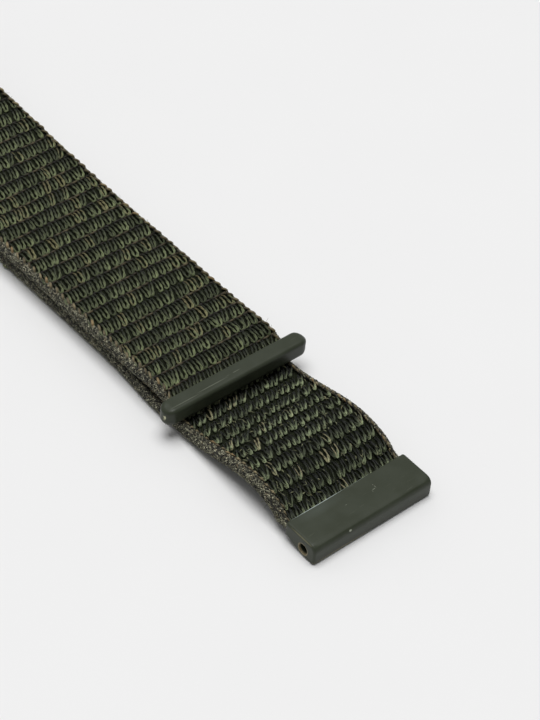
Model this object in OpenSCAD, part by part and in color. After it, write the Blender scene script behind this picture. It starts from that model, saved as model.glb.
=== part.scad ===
// Hook-and-loop nylon strap for a wrist watch, folded as it is stored.
// One length of ribbed webbing runs from the near connector along the table, round the slot bar of
// the far connector and back on top of itself, and ends in a moulded stop bar.
// X runs along the strap with +X at the near connector, Y across it and Z up from the table.
// Places along the strap are written as u, measured backwards from the near connector's front.

/* [Watch fit] */
// Gap between the watch lugs that each connector fills
lug_w = 22; // [18:1:24]
// Bore for the spring bar
bore_d = 1.6; // [1.2:0.1:2.0]

/* [Webbing] */
// How much narrower the webbing is than the lug gap
web_inset = 0.4; // [0.3:0.1:1.5]
// Width of the twisted thread edge on each side
selvedge_w = 0.9; // [0.6:0.1:1.4]
// Thickness of the woven ground
core_t = 1.1; // [0.8:0.1:1.6]
// Height of the neat ribs over the ground
rib_t = 0.7; // [0.5:0.05:1.0]
// Height of the loop face over the ground
loop_t = 0.8; // [0.5:0.05:1.0]
// Distance from rib to rib on the neat face
rib_pitch = 2.77; // [2:0.01:4]
// Distance from row to row on the loop face
loop_pitch = 2.3; // [1.6:0.01:4]
// Thickness of the flattened webbing where a moulding grips it
pressed_t = 1.0; // [0.8:0.1:1.2]
// Length of the flattened strip outside a moulding
pressed_len = 2.0; // [1.6:0.1:3]

/* [Lengths] */
// Webbing that shows between the near connector and the stop bar
front_len = 23.3; // [18:0.1:40]
// Tail from the stop bar back to the fold
tail_len = 103; // [90:1:130]
// Part of the tail that peels off, measured from the stop bar
peel_len = 35; // [33:1:45]
// Length of the hook patch along the tail
hook_len = 27; // [15:1:29]
// Bare webbing beside the hook patch
hook_side = 1.3; // [0.5:0.1:3]
// Bare webbing in front of the hook patch
hook_front = 1; // [0.5:0.1:1.5]
// Height that the front of the strap bows up between its ends
arch_rise = 2.1; // [0:0.1:3]

/* [Near connector] */
// Depth of the moulding along the strap
conn_d = 6.2; // [5.5:0.1:8]
// Height of the moulding
conn_h = 3.5; // [3.2:0.1:4.5]
// Radius of its rounded upper front edge
conn_front_r = 1.2; // [0.6:0.1:1.5]
// Length of the level part of its underside
conn_flat = 1.6; // [1.2:0.1:2]
// Height that its underside rises to at the webbing
conn_rise = 1.2; // [0:0.05:1.2]
// Distance from its front to the middle of the bore
bore_back = 2.35; // [2.0:0.05:2.5]
// Height of the middle of the bore
bore_up = 1.45; // [1.4:0.05:1.6]
// Depth of the pocket that grips the webbing
pocket_d = 2.0; // [1:0.1:2.2]

/* [Stop bar] */
// Overhang past each edge of the webbing
stop_overhang = 2.7; // [2:0.1:3.5]
// Depth along the strap
stop_d = 2.9; // [2.4:0.1:4]
// Height
stop_h = 3.2; // [2.8:0.1:4]
// Depth of the pocket that grips the webbing
stop_pocket_d = 1.6; // [1:0.1:1.8]

/* [Far connector] */
// Diameter of the slot bar that the webbing turns round
slot_bar_d = 2.4; // [2:0.1:3]
// Width of each side arm
arm_w = 2.3; // [1.8:0.1:3]
// Wall of each arm round the slot bar
arm_wall = 1.0; // [0.8:0.1:1.4]
// Depth of the cross piece between the slot and the lug end
cross_d = 1.6; // [1.2:0.1:2.5]
// Distance from the cross piece to the middle of the lug bore
lug_reach = 2.5; // [2.2:0.1:4]
// Height of the lug end
lug_h = 3.4; // [3:0.1:4]

/* [Clearances] */
// Space between soft pieces that move apart
soft_gap = 0.3; // [0.2:0.05:0.5]
// Space that the webbing has beside each arm
slot_side = 0.5; // [0.3:0.1:1]
// Space round the webbing inside a moulded pocket
pocket_gap = 0.1; // [0.05:0.05:0.2]
// Space between the tail and the lower run it lies on
tail_gap = 0.4; // [0.3:0.05:0.6]

/* [Hidden] */

// Webbing: widths, levels over its underside, and the height left in the grooves between rows
web_w = lug_w - web_inset;
body_w = web_w - 2 * selvedge_w;
web_t = rib_t + core_t + loop_t;
rib_min = 0.3 * rib_t;
loop_min = 0.4 * loop_t;
edge_inset = 0.25;
tongue_inset = 0.3;
tongue_w = body_w - 2 * tongue_inset;
pocket_w = tongue_w + 2 * pocket_gap;
knuckle = pressed_t / 2 + pocket_gap;

// Places along the strap, from the near connector's front. The bowed front run ends bar_lead ahead of
// the stop bar, so that the bar lies over the flat lower run.
bar_lead = 1;
u_conn = conn_d;
u_flex = u_conn + knuckle;
u_strip = u_flex + knuckle;
u_front = u_conn + pressed_len;
u_stop = u_conn + front_len;
u_lower = u_stop - bar_lead;
u_tail_tip = u_stop + stop_d;
u_tip = u_tail_tip + pressed_len;
u_bar_flex = u_tail_tip + knuckle;
u_tip_strip = u_bar_flex + knuckle;
u_peel = u_tail_tip + peel_len;
u_slot = u_tail_tip + tail_len;
u_tail_start = u_peel + soft_gap / 2;
u_tip_end = u_peel - soft_gap / 2;

// Slot bar, fold and far connector
slot_r = slot_bar_d / 2;
fold_in = slot_r + soft_gap;
fold_out = fold_in + web_t;
slot_z = fold_out;
tail_z = web_t + tail_gap;
tail_lift = slot_z + fold_in - tail_z;
arm_r = slot_r + arm_wall;
lug_r = lug_h / 2;
slot_w = web_w + 2 * slot_side;
frame_w = slot_w + 2 * arm_w;
cross_x = fold_out + soft_gap;
lug_x = cross_x + cross_d + lug_reach;
frame_tilt = asin((slot_z - lug_r) / lug_x);
u_end = u_slot + lug_x * cos(frame_tilt) + lug_r;
total_len = u_end;

// Mouldings: small edge radii, and the level at which each grips the webbing
round_r = 0.4;
foot_r = 0.45;
end_round = 0.3;
stop_round = 0.4;
under_power = 1.4;
grip_rise = 0.5;
conn_mid = conn_h / 2 + grip_rise;
stop_z = web_t + soft_gap;
stop_w = web_w + 2 * stop_overhang;
stop_mid = stop_z + stop_h / 2;

// Steps per arc, half ring and row, and the step along a level face
arc_steps = 10;
ring_steps = 36;
rib_steps = 8;
flat_step = 1.5;
past = 1;
fold_rows = round(PI * fold_out / rib_pitch);
fold_rib_steps = fold_rows * rib_steps;

function x_of(u) = total_len / 2 - u;
function ease(t) = let (c = min(max(t, 0), 1)) c * c * (3 - 2 * c);
function arc(cx, cz, r, a0, a1) = [
    for (i = [0 : arc_steps]) let (a = a0 + (a1 - a0) * i / arc_steps) [cx + r * cos(a), cz + r * sin(a)]
];

// Height of the front webbing's underside: low at the stop bar, bowed up, then level with the pocket.
// The skew moves the top of the bow towards the connector and the fullness keeps its ends steep.
bow_skew = 1.5;
bow_fullness = 0.85;
front_base = conn_mid - web_t / 2;
function front_t(u) = (u_lower - u) / (u_lower - u_front);
function front_z(u) =
    let (t = min(max(front_t(u), 0), 1))
    front_base * ease(t) + arch_rise * pow(max(sin(180 * pow(t, bow_skew)), 0), bow_fullness);

// Height of the tail's underside, rising over its last part to the top of the fold
function tail_z_of(u) = tail_z + tail_lift * ease((u - u_peel) / (u_slot - u_peel));

// Rounded rows: full height at mid row and lowest in the groove
function row(u, pitch, low, high) =
    let (f = u / pitch - floor(u / pitch), s = 2 * f - 1)
    low + (high - low) * sqrt(max(0, 1 - s * s * s * s));

function steps_between(u0, u1, pitch) = ceil((u1 - u0) / pitch * rib_steps);
function u_at(u0, u1, i, n) = u0 + (u1 - u0) * i / n;

// A strip across the strap, from y0 to y1, of a side outline in x and z
module strip(y0, y1, outline) {
    translate([0, y1, 0])
        rotate([90, 0, 0])
            linear_extrude(y1 - y0)
                polygon(outline);
}

// The strap's layers as side outlines. kind 0 is the front run, 1 the lower run and 2 the tail.
function base_z(kind, u) = kind == 0 ? front_z(u) : kind == 1 ? 0 : tail_z_of(u);

// Ground layer: level faces between the ribs and the loops
function ground_outline(kind, u0, u1, low) =
    let (n = max(2, ceil((u1 - u0) / flat_step)))
    concat(
        [for (i = [0 : n]) let (u = u_at(u0, u1, i, n)) [x_of(u), base_z(kind, u) + low]],
        [for (i = [n : -1 : 0]) let (u = u_at(u0, u1, i, n)) [x_of(u), base_z(kind, u) + low + core_t]]
    );

// Ribbed layer: level on the ground, rounded rows on the far side, up (side 1) or down (side -1)
function rows_outline(kind, u0, u1, level, side, pitch, low, high) =
    let (n = steps_between(u0, u1, pitch), m = max(2, ceil((u1 - u0) / flat_step)))
    concat(
        [for (i = [0 : m]) let (u = u_at(u0, u1, i, m)) [x_of(u), base_z(kind, u) + level]],
        [for (i = [n : -1 : 0]) let (u = u_at(u0, u1, i, n))
            [x_of(u), base_z(kind, u) + level + side * row(u, pitch, low, high)]]
    );

module ground(kind, u0, u1, low) {
    strip(-body_w / 2, body_w / 2, ground_outline(kind, u0, u1, low));
}

module rows(kind, u0, u1, level, side, pitch, low, high) {
    strip(-body_w / 2, body_w / 2, rows_outline(kind, u0, u1, level, side, pitch, low, high));
}

// Edge of the webbing: a flat-sided bead a little thinner than the webbing
module edge_strip(kind, u0, u1, side) {
    n = max(2, ceil((u1 - u0) / flat_step));
    low = edge_inset;
    high = web_t - edge_inset;
    y0 = side > 0 ? body_w / 2 : -web_w / 2;
    strip(y0, y0 + selvedge_w, concat(
        [for (i = [0 : n]) let (u = u_at(u0, u1, i, n)) [x_of(u), base_z(kind, u) + low]],
        [for (i = [n : -1 : 0]) let (u = u_at(u0, u1, i, n)) [x_of(u), base_z(kind, u) + high]]
    ));
}

// A half ring round the slot bar, from radius r0 to r1
module half_ring(y0, y1, r0, r1) {
    strip(y0, y1, concat(
        [for (i = [0 : ring_steps]) let (a = 90 + 180 * i / ring_steps)
            [x_of(u_slot) + r0 * cos(a), slot_z + r0 * sin(a)]],
        [for (i = [ring_steps : -1 : 0]) let (a = 90 + 180 * i / ring_steps)
            [x_of(u_slot) + r1 * cos(a), slot_z + r1 * sin(a)]]
    ));
}

// Underside of the near connector: level at the front, rising in a curve towards the webbing
function conn_under(d) = conn_rise * pow(max(d - conn_flat, 0) / (conn_d - conn_flat), under_power);

// Side outline of the near connector: upright back, rising underside, rounded front
function conn_outline(inset) = concat(
    arc(x_of(conn_d) + round_r, conn_h - round_r, round_r - inset, 90, 180),
    [[x_of(conn_d) + inset, conn_under(conn_d) + round_r]],
    [for (i = [arc_steps : -1 : 0])
        let (d = conn_flat + (conn_d - round_r - conn_flat) * i / arc_steps) [x_of(d), conn_under(d) + inset]],
    arc(x_of(0) - foot_r, foot_r, foot_r - inset, 270, 360),
    arc(x_of(0) - conn_front_r, conn_h - conn_front_r, conn_front_r - inset, 0, 90)
);

// Moulded end with the spring-bar bore and the pocket that grips the webbing
module near_connector() {
    color("#474c42")
    difference() {
        hull() {
            strip(-lug_w / 2 + end_round, lug_w / 2 - end_round, conn_outline(0));
            strip(-lug_w / 2, lug_w / 2, conn_outline(end_round));
        }
        translate([x_of(bore_back), lug_w / 2 + past, bore_up])
            rotate([90, 0, 0])
                cylinder(d = bore_d, h = lug_w + 2 * past, $fn = 48);
        translate([x_of(conn_d) - past, -pocket_w / 2, conn_mid - pressed_t / 2 - pocket_gap])
            cube([pocket_d + past, pocket_w, pressed_t + 2 * pocket_gap]);
    }
}

// Flattened webbing in the pocket, with a rounded back end at the line where it flexes
module near_tongue() {
    color("#23281c")
    union() {
        translate([x_of(u_flex), -tongue_w / 2, conn_mid - pressed_t / 2])
            cube([u_flex - conn_d + pocket_d - pocket_gap, tongue_w, pressed_t]);
        translate([x_of(u_flex), tongue_w / 2, conn_mid])
            rotate([90, 0, 0])
                cylinder(d = pressed_t, h = tongue_w, $fn = 32);
    }
}

// Ground of the bowed front run, with the flattened strip between the tongue and the first row
module front_ground() {
    color("#2b3022")
    union() {
        ground(0, u_front, u_lower, rib_t);
        translate([x_of(u_front), -tongue_w / 2, conn_mid - pressed_t / 2])
            cube([u_front - u_strip, tongue_w, pressed_t]);
    }
}

module front_rib_face() {
    color("#3d4334") rows(0, u_front, u_lower, rib_t, -1, rib_pitch, rib_min, rib_t);
}

module front_loop_face() {
    color("#4b5240") rows(0, u_front, u_lower, rib_t + core_t, 1, loop_pitch, loop_min, loop_t);
}

module front_edge_left() {
    color("#5a5140") edge_strip(0, u_front, u_lower, -1);
}

module front_edge_right() {
    color("#5a5140") edge_strip(0, u_front, u_lower, 1);
}

module lower_ground() {
    color("#2b3022") ground(1, u_lower, u_slot, rib_t);
}

module lower_rib_face() {
    color("#3d4334") rows(1, u_lower, u_slot, rib_t, -1, rib_pitch, rib_min, rib_t);
}

module lower_loop_face() {
    color("#4b5240") rows(1, u_lower, u_slot, rib_t + core_t, 1, loop_pitch, loop_min, loop_t);
}

module lower_edge_left() {
    color("#5a5140") edge_strip(1, u_lower, u_slot, -1);
}

module lower_edge_right() {
    color("#5a5140") edge_strip(1, u_lower, u_slot, 1);
}

module fold_ground() {
    color("#2b3022") half_ring(-body_w / 2, body_w / 2, fold_in + loop_t, fold_in + loop_t + core_t);
}

// Outer face of the fold, its ribs spaced along the arc as on the flat
module fold_rib_face() {
    color("#3d4334")
    strip(-body_w / 2, body_w / 2, concat(
        [for (i = [0 : ring_steps]) let (a = 90 + 180 * i / ring_steps)
            [x_of(u_slot) + (fold_out - rib_t) * cos(a), slot_z + (fold_out - rib_t) * sin(a)]],
        [for (i = [fold_rib_steps : -1 : 0])
            let (a = 90 + 180 * i / fold_rib_steps)
            let (r = fold_out - rib_t + row(i / rib_steps, 1, rib_min, rib_t))
            [x_of(u_slot) + r * cos(a), slot_z + r * sin(a)]]
    ));
}

module fold_loop_face() {
    color("#4b5240") half_ring(-body_w / 2, body_w / 2, fold_in, fold_in + loop_t);
}

module fold_edge_left() {
    color("#5a5140") half_ring(-web_w / 2, -body_w / 2, fold_in + edge_inset, fold_out - edge_inset);
}

module fold_edge_right() {
    color("#5a5140") half_ring(body_w / 2, web_w / 2, fold_in + edge_inset, fold_out - edge_inset);
}

// Outline round two circles on one line: radius r0 at the origin and r1 at distance d behind it
function drop_outline(r0, r1, d) =
    let (a = acos((r0 - r1) / d))
    concat(arc(0, 0, r0, a - 180, 180 - a), arc(-d, 0, r1, 180 - a, 180 + a));

// Moulded frame: slot bar, two side arms, cross piece and lug end with its bore
module far_connector() {
    color("#474c42")
    translate([x_of(u_slot), 0, slot_z])
        rotate([0, -frame_tilt, 0])
            difference() {
                union() {
                    translate([0, (slot_w + arm_w) / 2, 0])
                        rotate([90, 0, 0])
                            cylinder(r = slot_r, h = slot_w + arm_w, $fn = 48);
                    for (side = [-1, 1])
                        translate([0, side * (slot_w + arm_w) / 2, 0])
                            intersection() {
                                strip(-arm_w / 2, arm_w / 2, drop_outline(arm_r, lug_r, lug_x));
                                translate([-cross_x - cross_d, -arm_w, -arm_r])
                                    cube([cross_x + cross_d + arm_r, 2 * arm_w, 2 * arm_r]);
                            }
                    intersection() {
                        strip(-frame_w / 2, frame_w / 2, drop_outline(arm_r, lug_r, lug_x));
                        translate([-cross_x - cross_d, -frame_w, -arm_r])
                            cube([cross_d, 2 * frame_w, 2 * arm_r]);
                    }
                    intersection() {
                        strip(-lug_w / 2, lug_w / 2, drop_outline(arm_r, lug_r, lug_x));
                        translate([-2 * lug_x, -frame_w, -arm_r])
                            cube([2 * lug_x - cross_x - cross_d / 2, 2 * frame_w, 2 * arm_r]);
                    }
                }
                translate([-lug_x, lug_w / 2 + past, 0])
                    rotate([90, 0, 0])
                        cylinder(d = bore_d, h = lug_w + 2 * past, $fn = 48);
            }
}

module tail_ground() {
    color("#2b3022") ground(2, u_tail_start, u_slot, loop_t);
}

module tail_rib_face() {
    color("#3d4334") rows(2, u_tail_start, u_slot, loop_t + core_t, 1, rib_pitch, rib_min, rib_t);
}

module tail_loop_face() {
    color("#4b5240") rows(2, u_tail_start, u_slot, loop_t, -1, loop_pitch, loop_min, loop_t);
}

module tail_edge_left() {
    color("#5a5140") edge_strip(2, u_tail_start, u_slot, -1);
}

module tail_edge_right() {
    color("#5a5140") edge_strip(2, u_tail_start, u_slot, 1);
}

module tip_ground() {
    color("#2b3022") ground(2, u_tip, u_tip_end, loop_t);
}

module tip_rib_face() {
    color("#3d4334") rows(2, u_tip, u_tip_end, loop_t + core_t, 1, rib_pitch, rib_min, rib_t);
}

module tip_edge_left() {
    color("#5a5140") edge_strip(2, u_tip, u_tip_end, -1);
}

module tip_edge_right() {
    color("#5a5140") edge_strip(2, u_tip, u_tip_end, 1);
}

// Flattened end of the tail up to the line where the stop bar flexes
module tip_tongue() {
    color("#23281c")
    translate([x_of(u_tip), -tongue_w / 2, stop_mid - pressed_t / 2])
        cube([u_tip - u_tip_strip, tongue_w, pressed_t]);
}

// Hook tape under the tail's end
module hook_patch() {
    hook_w = body_w - 2 * hook_side;
    color("#1d2018")
    translate([x_of(u_tip + hook_front + hook_len), -hook_w / 2, tail_z])
        cube([hook_len, hook_w, loop_t]);
}

// Plan outline of the stop bar with round ends
module stop_plan(inset) {
    r = stop_d / 2 - inset;
    reach = stop_w / 2 - stop_d / 2;
    polygon(concat(arc(0, reach, r, 0, 180), arc(0, -reach, r, 180, 360)));
}

// Flattened webbing in the stop bar's pocket, with a rounded back end at the line where it flexes
module stop_tongue() {
    color("#23281c")
    union() {
        translate([x_of(u_bar_flex), -tongue_w / 2, stop_mid - pressed_t / 2])
            cube([u_bar_flex - u_tail_tip + stop_pocket_d - pocket_gap, tongue_w, pressed_t]);
        translate([x_of(u_bar_flex), tongue_w / 2, stop_mid])
            rotate([90, 0, 0])
                cylinder(d = pressed_t, h = tongue_w, $fn = 32);
    }
}

// Moulded bar that grips the tail's end and can't pass the slot
module stop_bar() {
    color("#474c42")
    difference() {
        translate([x_of(u_stop + stop_d / 2), 0, stop_z])
            hull() {
                translate([0, 0, stop_round]) linear_extrude(stop_h - 2 * stop_round) stop_plan(0);
                linear_extrude(stop_h) stop_plan(stop_round);
            }
        translate([x_of(u_tail_tip) - past, -pocket_w / 2, stop_mid - pressed_t / 2 - pocket_gap])
            cube([stop_pocket_d + past, pocket_w, pressed_t + 2 * pocket_gap]);
    }
}

near_connector();
near_tongue();
front_ground();
front_rib_face();
front_loop_face();
front_edge_left();
front_edge_right();
lower_ground();
lower_rib_face();
lower_loop_face();
lower_edge_left();
lower_edge_right();
fold_ground();
fold_rib_face();
fold_loop_face();
fold_edge_left();
fold_edge_right();
far_connector();
tail_ground();
tail_rib_face();
tail_loop_face();
tail_edge_left();
tail_edge_right();
tip_ground();
tip_rib_face();
tip_edge_left();
tip_edge_right();
tip_tongue();
hook_patch();
stop_tongue();
stop_bar();
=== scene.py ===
"""Nylon hook-and-loop watch strap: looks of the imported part.

The strap is one length of webbing. Its centre line is a path, and every yarn, thread and fibre is worked
out in webbing coordinates (s along the path, y across, c above the middle of the ground on the ribbed
side) and then carried onto that path. Sizes are in millimetres until a mesh is made.
"""

import logging
import math
from collections.abc import Sequence
from dataclasses import dataclass
from enum import Enum

import bpy
import numpy as np
from mathutils import Matrix, Vector


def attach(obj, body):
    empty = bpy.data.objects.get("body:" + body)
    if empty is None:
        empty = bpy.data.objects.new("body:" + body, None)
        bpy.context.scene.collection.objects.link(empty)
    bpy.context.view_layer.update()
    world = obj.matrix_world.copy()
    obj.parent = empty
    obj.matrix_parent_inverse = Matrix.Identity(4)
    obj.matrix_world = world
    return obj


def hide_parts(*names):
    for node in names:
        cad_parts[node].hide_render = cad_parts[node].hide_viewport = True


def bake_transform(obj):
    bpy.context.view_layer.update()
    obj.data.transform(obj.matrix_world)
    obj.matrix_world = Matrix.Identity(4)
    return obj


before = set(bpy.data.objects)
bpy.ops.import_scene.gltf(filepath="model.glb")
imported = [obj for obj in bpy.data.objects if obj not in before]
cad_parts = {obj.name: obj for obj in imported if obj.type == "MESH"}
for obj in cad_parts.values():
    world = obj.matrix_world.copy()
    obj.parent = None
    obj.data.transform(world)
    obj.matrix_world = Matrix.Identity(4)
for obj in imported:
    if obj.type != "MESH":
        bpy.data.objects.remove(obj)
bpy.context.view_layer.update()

LOG = logging.getLogger("strap")
MM = 0.001
SEED = 62

Point = tuple[float, float, float]
Line = tuple[Point, Point]
Tree = bpy.types.NodeTree


class Face(Enum):
    """The two faces of the webbing."""

    RIB = "rib"
    LOOP = "loop"


class Leg(Enum):
    """The two straight parts of the webbing path."""

    TABLE = "table"
    TAIL = "tail"


def ease(t: np.ndarray) -> np.ndarray:
    """Smooth step: 3 t squared minus 2 t cubed, with t held between 0 and 1.

    Args:
        t: Values to ease.

    Returns:
        The eased values.
    """
    c = np.clip(t, 0.0, 1.0)
    return c * c * (3 - 2 * c)


def linear(code: str) -> tuple[float, float, float, float]:
    """Turns an sRGB hex colour to linear.

    Args:
        code: Colour as six hex digits after a hash.

    Returns:
        Linear red, green and blue with alpha 1.
    """
    values = [int(code[i : i + 2], 16) / 255 for i in (1, 3, 5)]
    flat = [v / 12.92 if v <= 0.04045 else ((v + 0.055) / 1.055) ** 2.4 for v in values]
    return (flat[0], flat[1], flat[2], 1.0)


# Sizes and path


@dataclass(frozen=True)
class StrapSizes:
    """Sizes shared by the pieces, as in the part's source, in millimetres."""

    half_len: float = 72.627
    web_w: float = 21.6
    edge_w: float = 0.9
    core_t: float = 1.1
    rib_t: float = 0.7
    loop_t: float = 0.8
    rib_pitch: float = 2.77
    loop_pitch: float = 2.3
    pressed: float = 0.4
    conn_d: float = 6.2
    conn_h: float = 3.5
    conn_w: float = 22.0
    bore_r: float = 0.8
    u_front: float = 8.2
    u_lower: float = 28.5
    u_stop: float = 29.5
    u_tail_tip: float = 32.4
    u_tip: float = 34.4
    u_tape: float = 62.4
    u_peel: float = 67.4
    u_slot: float = 135.4
    front_base: float = 0.95
    arch_rise: float = 2.1
    bow_skew: float = 1.5
    bow_fullness: float = 0.85
    tail_z: float = 3.0
    tail_lift: float = 2.6
    slot_z: float = 4.1
    fold_r: float = 2.85
    bend_len: float = 11.0

    @property
    def body_w(self) -> float:
        """Width between the two edges."""
        return self.web_w - 2 * self.edge_w

    @property
    def pocket_half(self) -> float:
        """Half of the width of the pocket that grips the webbing."""
        return self.body_w / 2 - 0.2

    @property
    def slot_w(self) -> float:
        """Width of the slot."""
        return self.web_w + 1.0

    def x(self, u: float) -> float:
        """Place along X of a distance u from the near connector's front."""
        return self.half_len - u

    def point(self, u: float, z: float) -> Point:
        """A point on the middle line, in metres, for the blends."""
        return (self.x(u) * MM, 0.0, z * MM)

    @property
    def peel_line(self) -> Line:
        """Where the tail starts and ends its bend as its end peels off."""
        return (self.point(self.u_peel, 5), self.point(self.u_peel - self.bend_len, 5))


@dataclass(frozen=True)
class Lay:
    """How the real webbing lies off the CAD's even shape, in millimetres, its places counted as u is."""

    table_swell: float = 0.25
    table_swell_u: float = 27.5
    tail_swell: float = 0.4
    tail_swell_u: float = 37.0
    swell_reach: float = 4.0
    swell_fade: float = 3.0
    grip_lift: float = 0.13
    grip_fade: float = 2.2
    press_len: float = 2.0
    press_gap: float = 0.1
    aside: float = 0.25
    aside_from: float = 7.128
    aside_fade: float = 3.0
    aside_until: float = 45.0
    under_aside: float = 0.7
    under_from: float = 34.0
    under_fade: float = 15.0
    under_until: float = 85.0
    settle: float = 40.0


class WebbingPath:
    """Centre line of the woven ground, from the near connector along the table, round the fold and back."""

    STEP = 0.2
    FOLD_POINTS = 60
    FIRST_U, LAST_U = 3.0, 30.0

    def __init__(self, sizes: StrapSizes, lay: Lay = Lay()) -> None:
        """Samples the path.

        The front run's underside is base times an eased rise plus a skewed sine bow. The lower run is
        flat, the fold is a half circle, and the tail rises over its last part to the top of the fold.
        Real webbing never lies quite level and straight, so the table leg and the tail each swell a
        little beside the stop bar, by a bell curve, and the front half drifts sideways by a part of a
        millimetre, easing to nothing before the fold. Under the tail the table leg lies further aside.

        Args:
            sizes: The strap's sizes.
            lay: How the webbing lies off the even shape.
        """
        mid_low = sizes.rib_t + sizes.core_t / 2
        mid_tail = sizes.loop_t + sizes.core_t / 2
        u0 = np.arange(self.FIRST_U, sizes.u_slot, self.STEP)
        t = np.clip((sizes.u_lower - u0) / (sizes.u_lower - sizes.u_front), 0, 1)
        bow = np.sin(np.pi * t**sizes.bow_skew).clip(0) ** sizes.bow_fullness
        base = sizes.front_base * ease(t) + sizes.arch_rise * bow
        base += lay.table_swell * np.exp(-(((u0 - lay.table_swell_u) / lay.swell_reach) ** 2))
        table = np.stack([sizes.half_len - u0, base + mid_low], -1)
        a = np.linspace(-np.pi / 2, -3 * np.pi / 2, self.FOLD_POINTS)
        x_slot = sizes.x(sizes.u_slot)
        fold = np.stack([x_slot + sizes.fold_r * np.cos(a), sizes.slot_z + sizes.fold_r * np.sin(a)], -1)
        u1 = np.arange(sizes.u_slot, self.LAST_U, -self.STEP)[1:]
        lift = sizes.tail_lift * ease((u1 - sizes.u_peel) / (sizes.u_slot - sizes.u_peel))
        grip = lay.grip_lift * (1 - ease((u1 - sizes.u_tail_tip) / lay.grip_fade))
        crest = lay.tail_swell * np.exp(-(((u1 - lay.tail_swell_u) / lay.swell_reach) ** 2))
        crest *= ease((u1 - sizes.u_tail_tip) / lay.swell_fade)
        tail = np.stack([sizes.half_len - u1, sizes.tail_z + lift + mid_tail + grip + crest], -1)
        line = np.concatenate([table, fold, tail])
        step = np.linalg.norm(np.diff(line, axis=0), axis=1)
        self.s = np.concatenate([[0.0], np.cumsum(step)])
        self.line = line
        tangent = np.gradient(line, axis=0)
        tangent /= np.linalg.norm(tangent, axis=1)[:, None]
        self.normal = np.stack([-tangent[:, 1], tangent[:, 0]], -1)
        n0, n1 = len(table), len(table) + len(fold)
        self._table = (u0, self.s[:n0])
        self._tail = (u1[::-1], self.s[n1:][::-1])
        press_a = ease((u0 - sizes.conn_d - lay.press_gap) / lay.press_len)
        press_b = ease((u1 - sizes.u_tail_tip - lay.press_gap) / lay.press_len)
        k = np.concatenate([press_a, np.ones(len(fold)), press_b])
        self.thick = sizes.pressed + (1 - sizes.pressed) * k
        u = sizes.half_len - line[:, 0]
        beside = ease((u - lay.aside_from) / lay.aside_fade)
        beside = beside * (1 - ease((u - lay.aside_until) / lay.settle))
        under = (np.arange(len(line)) < n0) * ease((u - lay.under_from) / lay.under_fade)
        under = under * (1 - ease((u - lay.under_until) / lay.settle))
        self.drift = lay.aside * beside + lay.under_aside * under

    def s_at(self, u: float, leg: Leg) -> float:
        """Path distance of a place u on the table leg or on the tail leg.

        Args:
            u: Distance from the near connector's front.
            leg: Which straight part.

        Returns:
            Distance along the path.
        """
        us, ss = self._table if leg is Leg.TABLE else self._tail
        return float(np.interp(u, us, ss))

    def place(self, points: np.ndarray) -> np.ndarray:
        """Carries points in webbing coordinates onto the path.

        The point is the centre line at s plus c, thinned where a moulding presses the webbing, times the
        line's normal. Nothing goes under the table.

        Args:
            points: Array whose last axis is s, y, c.

        Returns:
            Array of the same shape in x, y, z.
        """
        s, y, c = points[..., 0], points[..., 1], points[..., 2]
        nx = np.interp(s, self.s, self.normal[:, 0])
        nz = np.interp(s, self.s, self.normal[:, 1])
        length = np.hypot(nx, nz)
        c = c * np.interp(s, self.s, self.thick) / length
        x = np.interp(s, self.s, self.line[:, 0]) + c * nx
        z = np.interp(s, self.s, self.line[:, 1]) + c * nz
        return np.stack([x, y + np.interp(s, self.s, self.drift), np.maximum(z, 0.02)], -1)


# Meshes


@dataclass
class Shell:
    """Quads with a map and two values a point, in millimetres."""

    points: np.ndarray
    quads: np.ndarray
    uv: np.ndarray
    tone: np.ndarray
    # lift: height share of each point, which the yarn finishes paint as shade at the root and highlight at
    # the crown
    lift: np.ndarray

    @staticmethod
    def joined(parts: Sequence["Shell"]) -> "Shell":
        """Puts shells together as one.

        Args:
            parts: The shells.

        Returns:
            One shell with all their faces.
        """
        starts = np.cumsum([0] + [len(p.points) for p in parts])
        return Shell(
            np.concatenate([p.points for p in parts]),
            np.concatenate([p.quads + n for p, n in zip(parts, starts)]),
            np.concatenate([p.uv for p in parts]),
            np.concatenate([p.tone for p in parts]),
            np.concatenate([p.lift for p in parts]),
        )

    def build(self, name: str, material: bpy.types.Material, sharp: float = 180.0) -> bpy.types.Object:
        """Makes the object, in metres, with its map and its tone and lift values.

        Args:
            name: Name of the piece.
            material: Its finish.
            sharp: Edges steeper than this many degrees stay sharp.

        Returns:
            The new object, linked to the scene.
        """
        mesh = bpy.data.meshes.new(name)
        mesh.from_pydata((self.points * MM).tolist(), [], self.quads.tolist())
        mesh.polygons.foreach_set("use_smooth", np.ones(len(self.quads), bool))
        layer = mesh.uv_layers.new(name="Thread")
        layer.data.foreach_set("uv", self.uv.astype(np.float32).ravel())
        for label, values in (("tone", self.tone), ("lift", self.lift)):
            attribute = mesh.attributes.new(label, "FLOAT", "POINT")
            attribute.data.foreach_set("value", values.astype(np.float32))
        if sharp < 180:
            mesh.set_sharp_from_angle(angle=math.radians(sharp))
        mesh.materials.append(material)
        mesh.update()
        obj = bpy.data.objects.new(name, mesh)
        bpy.context.scene.collection.objects.link(obj)
        LOG.info("%s: %d faces", name, len(self.quads))
        return obj


def grid_quads(rows: int, cols: int, wrap_rows: bool = False, wrap_cols: bool = False) -> np.ndarray:
    """Quads of a grid of rows by cols points, closed in either direction on request.

    Args:
        rows: Points along the first direction.
        cols: Points along the second.
        wrap_rows: Joins the last row to the first.
        wrap_cols: Joins the last column to the first.

    Returns:
        Vertex numbers, four a face.
    """
    i = np.arange(rows if wrap_rows else rows - 1)[:, None]
    j = np.arange(cols if wrap_cols else cols - 1)[None, :]
    i1, j1 = (i + 1) % rows, (j + 1) % cols
    quads = np.stack([i * cols + j, i1 * cols + j, i1 * cols + j1, i * cols + j1], -1)
    return quads.reshape(-1, 4)


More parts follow.
